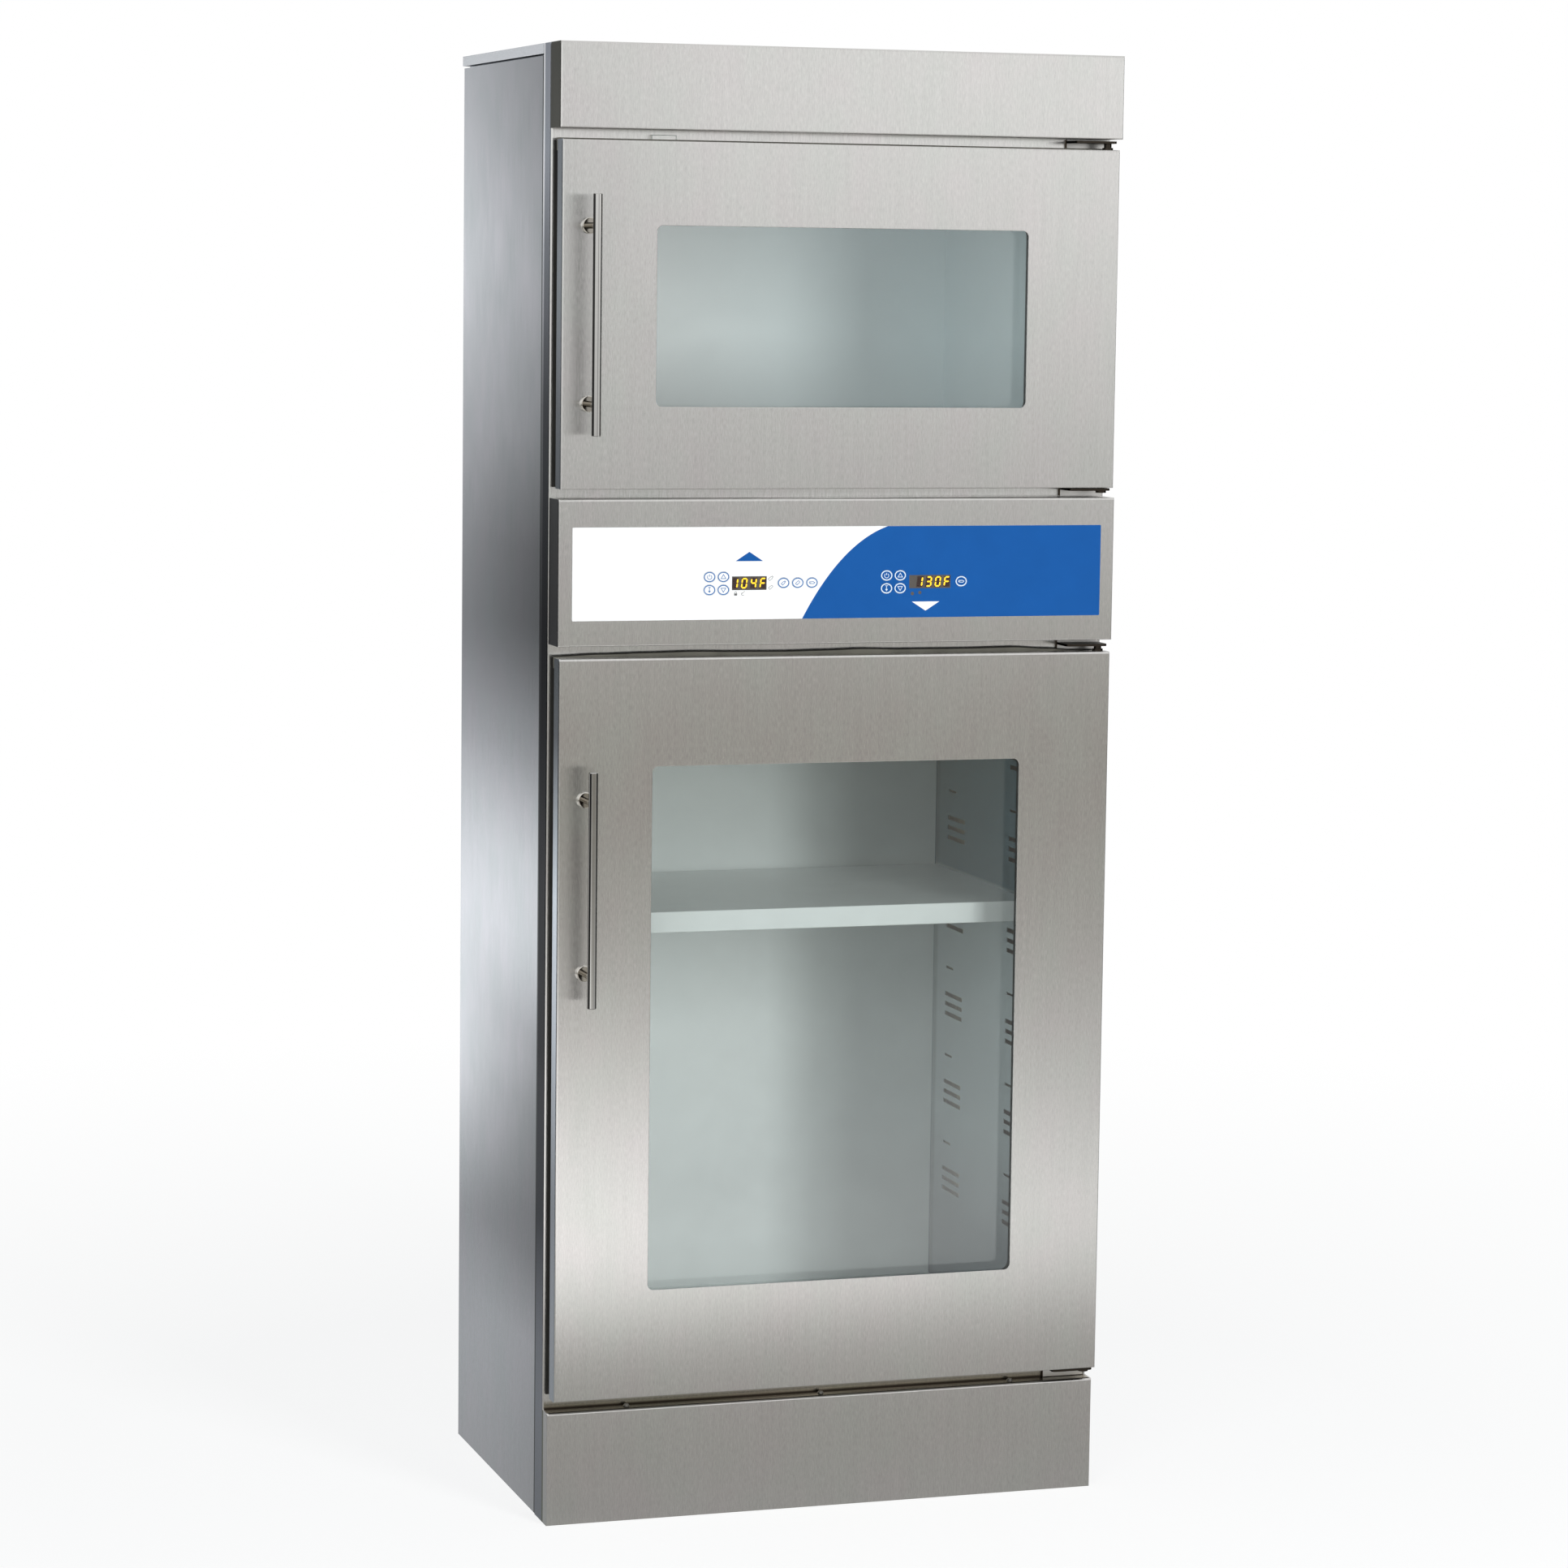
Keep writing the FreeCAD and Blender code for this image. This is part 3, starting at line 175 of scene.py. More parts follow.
def pattern(tree, scale, detail=2.0, rough=0.5):
    """Noise on the piece's own coordinates; scale is repeats per metre along X, Y and Z, or all round."""
    coords = add(tree, "ShaderNodeTexCoord").outputs["Object"]
    mapping = add(tree, "ShaderNodeMapping", {
        "Vector": coords, "Scale": (scale,) * 3 if isinstance(scale, float) else scale})
    return add(tree, "ShaderNodeTexNoise", {
        "Vector": mapping.outputs[0], "Scale": 1.0, "Detail": detail, "Roughness": rough}).outputs["Fac"]


def spread_out(tree, value, low=0.3, high=0.7, to_low=0.0, to_high=1.0):
    """value from low..high to to_low..to_high, clamped."""
    return add(tree, "ShaderNodeMapRange", {
        "Value": value, "From Min": low, "From Max": high, "To Min": to_low, "To Max": to_high}).outputs[0]


def of_type(sockets, kind):
    """Those sockets of one type, such as a Mix node's colours."""
    return [socket for socket in sockets if socket.type == kind]


def mixed(tree, factor, first, second, blend_type="MIX"):
    """A colour from two others, each a socket or a plain colour, by a factor."""
    node = add(tree, "ShaderNodeMix", {"Factor": factor}, data_type="RGBA", blend_type=blend_type)
    for socket, colour in zip(of_type(node.inputs, "RGBA"), (first, second)):
        if isinstance(colour, tuple):
            socket.default_value = (*colour, 1.0)
        else:
            tree.links.new(colour, socket)
    return of_type(node.outputs, "RGBA")[0]


def calc(tree, operation, *values):
    """A step of arithmetic on sockets and plain numbers."""
    return add(tree, "ShaderNodeMath", dict(enumerate(values)), operation=operation).outputs[0]


def blend_values(tree, first, second, share):
    """first and second as one value, with that share of second."""
    return calc(tree, "MULTIPLY_ADD", calc(tree, "SUBTRACT", second, first), share, first)


def either_light(tree, factor, first, second):
    """Light of the second shader by a factor, else of the first."""
    return add(tree, "ShaderNodeMixShader", {0: factor, 1: first, 2: second}).outputs[0]


def emboss(tree, shader, height, strength, distance):
    bump = add(tree, "ShaderNodeBump", {"Strength": strength, "Distance": distance, "Height": height})
    fill(tree, shader, {"Normal": bump.outputs["Normal"]})
    return bump


def scaled(colour, factor):
    return tuple(min(1.0, part * factor) for part in colour)


def grey(level):
    return (level, level, level)


# ================================================================ finishes
def varied(tree, value, colour, dark, light):
    """The colour, from dark to light times itself as a pattern goes."""
    return mixed(tree, spread_out(tree, value), scaled(colour, dark), scaled(colour, light))


def toned(tree, shades):
    """White, times each shade's tint over its own stretch of the piece: tints that paint shade and highlights
    on it.

    A shade is (axis, start, end, tint): the tint comes in between start and end, measured on the piece's
    own coordinates; axis "S" is the distance from the middle plane. Further (axis, start, end) triples keep
    it to the stretches past their ends.
    """
    own = axes(tree)

    def stretch(axis, start, end):
        value = calc(tree, "ABSOLUTE", own["X"]) if axis == "S" else own[axis]
        return spread_out(tree, value, start, end)

    tone = WHITE
    for axis, start, end, shade, *limits in shades:
        factor = stretch(axis, start, end)
        for limit in limits:
            factor = calc(tree, "MULTIPLY", factor, stretch(*limit))
        tone = mixed(tree, factor, tone, shade, "MULTIPLY")
    return tone


def colour_metal(tree, shader, colour, shades, metallic=1.0):
    """A metal's colour times its painted shades and highlights, which also dull what it mirrors at a flat
    angle.
    """
    flat_share = 0.56
    fill(tree, shader, {"Metallic": metallic, "Base Color": colour})
    if shades:
        tone = toned(tree, shades)
        fill(tree, shader, {"Base Color": mixed(tree, 1.0, colour, tone, "MULTIPLY"),
                            "Specular Tint": mixed(tree, flat_share, WHITE, tone, "MULTIPLY")})


def rolled(tree, normal, box, width):
    """The normal, leaning out along the front plane's handle-side edge and upper edge as on a rolled fold."""
    low, high = box
    steepest = 3.0
    x, y, z = axes(tree)

    def towards(value, edge, inside):
        return spread_out(tree, value, inside, edge, 0.0, steepest)

    front = towards(y, low.y, low.y + width)
    side = calc(tree, "MINIMUM", front, towards(x, low.x, low.x + width))
    top = calc(tree, "MINIMUM", front, towards(z, high.z, high.z - width))
    lean = add(tree, "ShaderNodeCombineXYZ", {
        "X": calc(tree, "MULTIPLY", side, -1.0),
        "Y": calc(tree, "MULTIPLY", calc(tree, "MAXIMUM", side, top), -1.0),
        "Z": top})
    leaning = add(tree, "ShaderNodeVectorMath", {0: normal, 1: lean.outputs[0]}, operation="ADD")
    return add(tree, "ShaderNodeVectorMath", {0: leaning.outputs[0]}, operation="NORMALIZE").outputs[0]


def brushed_steel(name, colour, steel, axis="Z", shades=(), box=None):
    """Sheet with fine streaks along one axis and faint clouds; with a box its front folds are rolled."""
    finish, tree, shader = new_finish(name)

    def streaks(width, length, detail):
        scale = [1 / width] * 3
        scale["XYZ".index(axis)] = 1 / length
        return pattern(tree, scale, detail, 0.6)

    fine = streaks(steel.grain_width, steel.grain_length, 3.0)
    broad = streaks(steel.grain_width * 4, steel.grain_length * 12, 2.0)
    cloud = pattern(tree, (14.0, 14.0, 9.0), 3.0, 0.55)
    tone = blend_values(tree, spread_out(tree, fine), spread_out(tree, broad), 0.22)
    grain = mixed(tree, tone, scaled(colour, 1 - steel.contrast), scaled(colour, 1 + steel.contrast))
    stain = mixed(tree, spread_out(tree, cloud), (1.0, 0.975, 0.985), (0.975, 0.995, 0.98))
    colour_metal(tree, shader, mixed(tree, 1.0, grain, stain, "MULTIPLY"), shades)
    cloudy, streaked = (spread_out(tree, value, 0.3, 0.7, -0.03, 0.03) for value in (cloud, fine))
    rough = blend_values(tree, cloudy, streaked, 0.5)
    # A level sheet, brushed along Y, would show its spread as a fan round its middle.
    fill(tree, shader, {"Roughness": calc(tree, "ADD", rough, steel.roughness),
                        "Anisotropic": 0.0 if axis == "Y" else steel.spread})
    fold = add(tree, "ShaderNodeBevel", {"Radius": steel.fold_radius}, samples=4).outputs["Normal"]
    bump = emboss(tree, shader, fine, 0.07, 0.00003)
    fill(tree, bump, {"Normal": rolled(tree, fold, box, steel.rolled_width) if box else fold})
    return finish


def satin_steel(name, colour, roughness, shades=()):
    """Dull rolled sheet: cloudy tone and a faint pebbled surface."""
    finish, tree, shader = new_finish(name)
    cloud = pattern(tree, 22.0, 4.0, 0.6)
    colour_metal(tree, shader, varied(tree, cloud, colour, 0.96, 1.03), shades, 0.45)
    fill(tree, shader, {
        "Roughness": spread_out(tree, cloud, 0.25, 0.75, roughness - 0.04, roughness + 0.05)})
    emboss(tree, shader, pattern(tree, 900.0), 0.12, 0.00005)
    return finish


def polished_steel(name, colour, roughness, shades=()):
    """Turned bar and fittings: fine rings round the axis and a light satin."""
    finish, tree, shader = new_finish(name)
    rings = pattern(tree, (60.0, 60.0, 2600.0))
    smear = pattern(tree, 35.0, 3.0, 0.6)
    colour_metal(tree, shader, varied(tree, rings, colour, 0.97, 1.02), shades)
    fill(tree, shader, {
        "Roughness": spread_out(tree, smear, 0.3, 0.7, roughness - 0.03, roughness + 0.05)})
    emboss(tree, shader, rings, 0.06, 0.00002)
    return finish


def cast_metal(name, colour, roughness, metallic=1.0):
    """Plated, painted or oxidised metal with a grainy surface."""
    finish, tree, shader = new_finish(name)
    cloud = pattern(tree, 60.0, 4.0, 0.6)
    grit = pattern(tree, 420.0, 3.0, 0.6)
    fill(tree, shader, {
        "Base Color": varied(tree, cloud, colour, 0.85, 1.12), "Metallic": metallic,
        "Roughness": spread_out(tree, grit, 0.3, 0.7, roughness - 0.07, roughness + 0.09)})
    emboss(tree, shader, grit, 0.25, 0.0001)
    return finish


def moulded(name, colour, roughness, contrast=0.08, grit_scale=700.0, depth=0.00006, sheen=0.5):
    """Plastic, rubber or film with a fine moulded texture."""
    finish, tree, shader = new_finish(name)
    cloud = pattern(tree, 30.0, 3.0, 0.5)
    grit = pattern(tree, grit_scale)
    fill(tree, shader, {
        "Base Color": varied(tree, cloud, colour, 1 - contrast, 1 + contrast), "Specular IOR Level": sheen,
        "Roughness": spread_out(tree, grit, 0.3, 0.7, roughness - 0.05, roughness + 0.05)})
    emboss(tree, shader, grit, 0.15, depth)
    return finish


def ink(name, colour, roughness, contrast=0.03, sheen=0.5):
    """A thin printed layer."""
    return moulded(name, colour, roughness, contrast, depth=0.00002, sheen=sheen)


def window_glass(name, colour):
    """Clear tinted pane with a faint smear, which lets the lamps' light through."""
    finish, tree, shader = new_finish(name)
    smear = pattern(tree, (9.0, 9.0, 16.0), 4.0, 0.6)
    fill(tree, shader, {
        "Base Color": (*colour, 1.0), "Transmission Weight": 1.0, "IOR": 1.52, "Specular IOR Level": 0.28,
        "Roughness": spread_out(tree, smear, 0.45, 0.8, 0.0, 0.012)})
    path = add(tree, "ShaderNodeLightPath").outputs
    passing = calc(tree, "MAXIMUM", path["Is Shadow Ray"], path["Is Diffuse Ray"])
    clear = add(tree, "ShaderNodeBsdfTransparent", {"Color": (*(math.sqrt(part) for part in colour), 1.0)})
    surface = either_light(tree, passing, shader.outputs[0], clear.outputs[0])
    fill(tree, tree.nodes["Material Output"], {"Surface": surface})
    return finish


def wool_board(name):
    """Foil-faced mineral wool."""
    finish, tree, shader = new_finish(name)
    fibre = pattern(tree, (180.0, 180.0, 40.0), 5.0, 0.7)
    fill(tree, shader, {"Roughness": 0.9, "Base Color": mixed(
        tree, spread_out(tree, fibre), (0.42, 0.36, 0.22), (0.66, 0.60, 0.42))})
    emboss(tree, shader, fibre, 0.5, 0.002)
    return finish


def lit_segments(name, colour):
    """Glowing amber segment with a faint mottle."""
    finish, tree, shader = new_finish(name)
    shade = varied(tree, pattern(tree, 1600.0, 1.0, 0.4), colour, 0.92, 1.0)
    fill(tree, shader, {"Base Color": shade, "Emission Color": shade, "Emission Strength": 0.85,
                        "Roughness": 0.5})
    return finish


def coat(node_name, finish):
    """Gives a CAD node its finish, in every slot it has."""
    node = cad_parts[node_name]
    if not node.material_slots:
        node.data.materials.append(finish)
    for material_slot in node.material_slots:
        material_slot.material = finish


# ================================================================ mesh helpers
def in_scene(name, data):
    """A new object of the scene."""
    item = bpy.data.objects.new(name, data)
    bpy.context.scene.collection.objects.link(item)
    return item


def hide(item, *rays):
    """Hides an object from those kinds of rays."""
    for ray in rays:
        setattr(item, "visible_" + ray, False)


def place(name, mesh, body, finish):
    """Puts a finished mesh into the scene as a piece that rides on a body."""
    piece = in_scene(name, mesh)
    if finish is not None:
        mesh.materials.clear()
        mesh.materials.append(finish)
    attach(piece, body)
    return piece


def mesh_of(name, shape):
    mesh = bpy.data.meshes.new(name)
    shape.to_mesh(mesh)
    shape.free()
    return mesh


def evaluated_mesh(holder, name):
    """The plain mesh that a curve or a modifier stack makes; its holder is removed."""
    graph = bpy.context.evaluated_depsgraph_get()
    mesh = bpy.data.meshes.new_from_object(holder.evaluated_get(graph))
    mesh.name = name
    data = holder.data
    bpy.data.objects.remove(holder)
    if isinstance(data, bpy.types.Curve):
        bpy.data.curves.remove(data)
    return mesh


def flat_shape(groups, front, depth):
    """Flat closed outlines in the X-Z plane, filled and given a depth behind the plane y = front.

    Each group is a list of outlines; an outline inside another one of its group is a hole.
    """
    whole = bmesh.new()
    for outlines in groups:
        curve = bpy.data.curves.new("outline", "CURVE")
        curve.dimensions = "2D"
        curve.fill_mode = "BOTH"
        curve.extrude = depth / 2
        for points in outlines:
            spline = curve.splines.new("POLY")
            spline.points.add(len(points) - 1)
            for target, (x, z) in zip(spline.points, points):
                target.co = (x, z, 0.0, 1.0)
            spline.use_cyclic_u = True
        mesh = evaluated_mesh(in_scene("outline", curve), "outline")
        whole.from_mesh(mesh)
        bpy.data.meshes.remove(mesh)
    stand_up = Matrix.Translation((0, front + depth / 2, 0)) @ Matrix.Rotation(math.pi / 2, 4, "X")
    whole.transform(stand_up)
    bmesh.ops.remove_doubles(whole, verts=whole.verts, dist=1e-7)
    bmesh.ops.recalc_face_normals(whole, faces=whole.faces)
    return whole


def plate(name, groups, front, depth, body, finish):
    """A piece from flat outlines."""
    return place(name, mesh_of(name, flat_shape(groups, front, depth)), body, finish)


def skin(shape, loops, closed=False):
    """Faces from each loop of points to the next, with an end cap on both unless the run is closed."""
    for first, second in zip(loops, loops[1:] + (loops[:1] if closed else [])):
        for i in range(len(first)):
            j = (i + 1) % len(first)
            shape.faces.new((first[i], second[i], second[j], first[j]))
    if not closed:
        shape.faces.new(loops[0])
        shape.faces.new(loops[-1][::-1])
    bmesh.ops.recalc_face_normals(shape, faces=shape.faces)
    return shape


def side_step(points, index, closed):
    """Unit normal of a line at one of its points, with the corner's mitre length."""
    count = len(points)
    here = Vector(points[index])
    before = Vector(points[(index - 1) % count] if closed or index > 0 else points[index])
    after = Vector(points[(index + 1) % count] if closed or index < count - 1 else points[index])
    into, out = here - before, after - here
    into = into.normalized() if into.length else out.normalized()
    out = out.normalized() if out.length else into
    middle = (into + out).normalized()
    mitre = 1 / max(0.35, middle.dot(out))
    return -middle.y * mitre, middle.x * mitre


def stroke(points, width, closed=False):
    """Outlines of a line of that width: two loops when it is closed, else one."""
    steps = [side_step(points, index, closed) for index in range(len(points))]
    left, right = ([(x + sx * half, z + sz * half) for (x, z), (sx, sz) in zip(points, steps)]
                   for half in (width / 2, -width / 2))
    return [left, right] if closed else [left + right[::-1]]


def arc(x, z, radius, start, end, count, squash=1.0):
    """Points of an arc, angles in degrees from +X; squash scales its height."""
    angles = [math.radians(start + (end - start) * i / (count - 1)) for i in range(count)]
    return [(x + radius * math.cos(a), z + radius * squash * math.sin(a)) for a in angles]


def loop(x, z, radius, count, squash=1.0):
    return arc(x, z, radius, 0, 360 - 360 / count, count, squash)


def oval(centre, half, grow):
    """Outline of an oval key, grown by that much."""
    wide, tall = half.x + grow, half.z + grow
    return loop(centre.x, centre.z, wide, 40, tall / wide)


def rectangle(x0, x1, z0, z1, radius=0.0):
    """Outline of an upright rectangle; with a radius its corners are round."""
    if not radius:
        return [(x0, z0), (x1, z0), (x1, z1), (x0, z1)]
    corners = ((x1 - radius, z0 + radius), (x1 - radius, z1 - radius), (x0 + radius, z1 - radius),
               (x0 + radius, z0 + radius))
    return [point for index, (x, z) in enumerate(corners)
            for point in arc(x, z, radius, 90 * index - 90, 90 * index, 9)]


def tilted(shape, x, z, degrees):
    """An outline in millimetres, turned and put at a place."""
    c, s = math.cos(math.radians(degrees)), math.sin(math.radians(degrees))
    return [(x + (a * c - b * s) * MM, z + (a * s + b * c) * MM) for a, b in shape]


# ================================================================ operators
class CABINET_OT_case(bpy.types.Operator):
    """Finish the case, header, kick panel, control housing and doors in brushed steel"""
    bl_idname = "cabinet.case"
    bl_label = "Case and doors"

    # Folded returns look duller than the faces for what they mirror: painted shade, as the tint of each
    # sheet's outer side.
    RETURN_PAINTED_SHADES = {"front_frame": (0.56, 0.60, 0.68), "header_panel": (0.185, 0.19, 0.175),
                    "kick_panel": (0.90, 0.92, 0.94), "control_housing": (0.18, 0.185, 0.195)}
    # Painted shade on the doors' side edges, for the darker reflections they show.
    DOOR_EDGE_PAINTED_SHADE = (0.44, 0.48, 0.53)
    # Painted shade and highlights on the returns, changing with height: where a change starts and ends, and
    # its factor.
    FRAME_PAINTED_LIGHT = ((1.79, 1.667, 0.52), (1.667, 1.461, 0.42), (1.461, 1.253, 0.74), (1.253, 1.043, 0.50),
                   (0.831, 0.618, 1.05), (0.618, 0.402, 4.0), (0.402, 0.24, 2.3), (0.24, 0.15, 1.2))
    DOOR_PAINTED_LIGHT = ((1.60, 1.461, 0.78), (1.25, 1.04, 0.91), (1.04, 0.83, 2.7), (0.83, 0.62, 0.78),
                  (0.62, 0.40, 1.15))
    # Painted reflection on the sides, changing towards their front seam: a factor, and the stretches of
    # height that it keeps to.
    SIDE_PAINTED_REFLECTION = ((0.64,), (1.30, (1.00, 0.86), (0.64, 0.76)), (0.85, (0.72, 0.62), (0.42, 0.54)),
                  (1.40, (0.34, 0.22)), (0.72, (1.42, 1.27), (1.05, 1.17)))
    SIDE_REAR = 0.24
    # Painted shade on the fronts starts here and deepens towards the handle side.
    LEFT_SHADE_START = -0.16           # from here on the fronts get duller towards the handle side
    # Painted shadow along the side sheets' front seam, where they meet the frame: its width and its tint.
    SEAM_WIDTH = 9.0 * MM
    SEAM_SHADOW = (0.28, 0.29, 0.28)
    # Painted shade in the gap under the lower door, on the kick panel's ledge and the frame's foot.
    GAP_SHADE = (0.66, 0.63, 0.56)
    # A painted shadow line across the kick panel's ledge.
    GAP_SHADOW_LINE = (0.06, 0.06, 0.055)
    # Painted shade in the creases at the kick panel's rear and at the frame's foot.
    CREASE_SHADE = (0.34, 0.31, 0.29)
    # Painted shade on the rear of the kick panel's side returns.
    KICK_REAR_SHADE = (0.45, 0.47, 0.42)
    # A painted highlight along the rear edge of the frame's returns, over their upper part.
    RETURN_EDGE_HIGHLIGHT = (2.6, 2.5, 2.4)

    def outer(self, side):
        """Keeps a shade to the outer face that lies that far from the middle plane."""
        return "S", side - 0.6 * MM, side - 0.3 * MM

    def return_shades(self, side, shade, tones):
        """Painted shade and highlights of a folded return."""
        mask = self.outer(side)
        return [(*mask, shade)] + [("Z", start, end, grey(factor), mask) for start, end, factor in tones]

    def own_shades(self, node, low, high):
        """Painted shade on a sheet's ledges, creases and handle side, and a painted highlight on the frame's
        returns.
        """
        inside = ("S", high.x - 2.0 * MM, high.x - 2.4 * MM)
        ledge = ("Y", low.y + 0.8 * MM, low.y + 1.4 * MM)
        if node == "header_panel":
            return [("X", self.LEFT_SHADE_START, low.x, grey(0.92))]
        if node == "kick_panel":
            return [(*ledge, self.GAP_SHADE, inside),
                    ("Y", low.y + 5.8 * MM, low.y + 5.0 * MM, self.GAP_SHADOW_LINE, inside, ledge),
                    ("Y", high.y - 8 * MM, high.y - 4 * MM, self.CREASE_SHADE, inside),
                    ("Y", high.y - 7 * MM, high.y - 6 * MM, self.KICK_REAR_SHADE, self.outer(high.x))]
        if node == "front_frame":
            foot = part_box("kick_panel")[1].z
            return [("Z", foot + 12 * MM, foot + 8 * MM, self.GAP_SHADE, inside),
                    ("Z", foot + 4 * MM, foot + 1 * MM, self.CREASE_SHADE, inside),
                    ("Y", high.y - 8 * MM, high.y - 7 * MM, self.RETURN_EDGE_HIGHLIGHT, ("Z", 1.0, 1.35))]
        return []

    def execute(self, context):
        steel = context.scene.cabinet_steel
        for node, shade in self.RETURN_PAINTED_SHADES.items():
            box = low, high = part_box(node)
            shades = self.return_shades(high.x, shade, self.FRAME_PAINTED_LIGHT if node == "front_frame" else ())
            shades += self.own_shades(node, low, high)
            coat(node, brushed_steel(node + "_steel", steel.case_colour, steel, shades=shades, box=box))
        for node in (door + "_door_shell" for door in DOORS):
            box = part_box(node)
            edge = box[1].x
            shades = self.return_shades(edge, self.DOOR_EDGE_PAINTED_SHADE, self.DOOR_PAINTED_LIGHT)
            # Painted shade towards the handle side, along the upper door's top.
            shades.append(("X", self.LEFT_SHADE_START, -edge, grey(0.88), ("Z", 1.50, 1.75)))
            coat(node, brushed_steel(node + "_steel", steel.case_colour, steel, shades=shades, box=box))
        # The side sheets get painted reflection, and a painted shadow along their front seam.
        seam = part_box("left_side_panel")[0].y
        shades = [("Y", self.SIDE_REAR, seam, grey(factor), *(("Z", *limit) for limit in limits))
                  for factor, *limits in self.SIDE_PAINTED_REFLECTION]
        shades.append(("Y", seam + self.SEAM_WIDTH, seam + self.SEAM_WIDTH - 0.8 * MM, self.SEAM_SHADOW))
        side = brushed_steel("side_steel", steel.side_colour, steel, shades=shades)
        for node in SIDE_SHEETS:
            coat(node, side)
        coat("top_cap", brushed_steel("cap_steel", steel.side_colour, steel, axis="Y"))
        coat("base_pan", satin_steel("plinth_steel", scaled(steel.side_colour, 0.85), 0.4))
        return {"FINISHED"}


class CABINET_OT_chambers(bpy.types.Operator):
    """Finish the liners, the shelf, the inner door pans and the panes, and set spacers between the panes"""
    bl_idname = "cabinet.chambers"
    bl_label = "Chambers and glass"

    SPACER = 4.5 * MM
    PANE_RADIUS = 19.0 * MM
    PLAY = 0.1 * MM
    WALL = 307.0 * MM           # the liners' side walls, from the middle plane
    # Painted light: factors that make each chamber's steel and the shelf's steel brighter, lit copies of the
    # one chamber steel.
    CHAMBER_PAINTED_LIGHT = {"upper": 1.36, "lower": 1.25}
    SHELF_PAINTED_LIGHT = 1.16

    def spacer(self, door, rubber):
        """The dark seal that holds the two panes apart, just behind the window's edge."""
        low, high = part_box(door + "_inner_glass")
        front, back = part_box(door + "_outer_glass")[1].y + self.PLAY, low.y - self.PLAY
        wide = self.SPACER
        edges = [rectangle(low.x, high.x, low.z, high.z, self.PANE_RADIUS),
                 rectangle(low.x + wide, high.x - wide, low.z + wide, high.z - wide, self.PANE_RADIUS - wide)]
        plate(door + "_pane_spacer", [edges], front, back - front, door + "_door", rubber)

    def upper_shades(self):
        """Painted shade: cooler towards the right and a little duller near the floor."""
        low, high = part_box("upper_liner")
        return [("X", -0.1, high.x, (0.90, 1.0, 1.02)), ("Z", low.z + 0.17, low.z + 0.04, grey(0.80))]

    def lower_shades(self):
        """Painted shade and reflection: a duller right half behind, a dull right wall, darker again near its
        foot, and its stretch over the shelf dark and cool.
        """
        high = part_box("lower_liner")[1]
        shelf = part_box("lower_shelf")[1].z
        wall = ("X", self.WALL - 1.5 * MM, self.WALL - 0.5 * MM)
        return [("X", 0.055, 0.130, (0.76, 0.77, 0.77), ("Y", high.y - 0.02, high.y - 0.01)),
                (*wall, (0.57, 0.61, 0.63)),
                ("Z", shelf - 4 * MM, shelf + 4 * MM, (0.26, 0.37, 0.42), wall),
                ("Z", 0.45, 0.30, (0.50, 0.51, 0.54), wall)]

    def execute(self, context):
        colour = context.scene.cabinet_steel.chamber_colour
        for door, shades in (("upper", self.upper_shades()), ("lower", self.lower_shades())):
            bright = scaled(colour, self.CHAMBER_PAINTED_LIGHT[door])
            coat(door + "_liner", satin_steel(door + "_chamber_steel", bright, 0.42, shades))
            coat(door + "_door_inner_pan", satin_steel(door + "_pan_steel", bright, 0.42))
        coat("lower_shelf", satin_steel("shelf_steel", scaled(colour, self.SHELF_PAINTED_LIGHT), 0.40))
        glass = window_glass("window_glass", (0.965, 0.988, 0.984))
        for node in PANES:
            coat(node, glass)
        rubber = moulded("pane_seal", (0.012, 0.013, 0.013), 0.6)
        for door in DOORS:
            self.spacer(door, rubber)
        return {"FINISHED"}


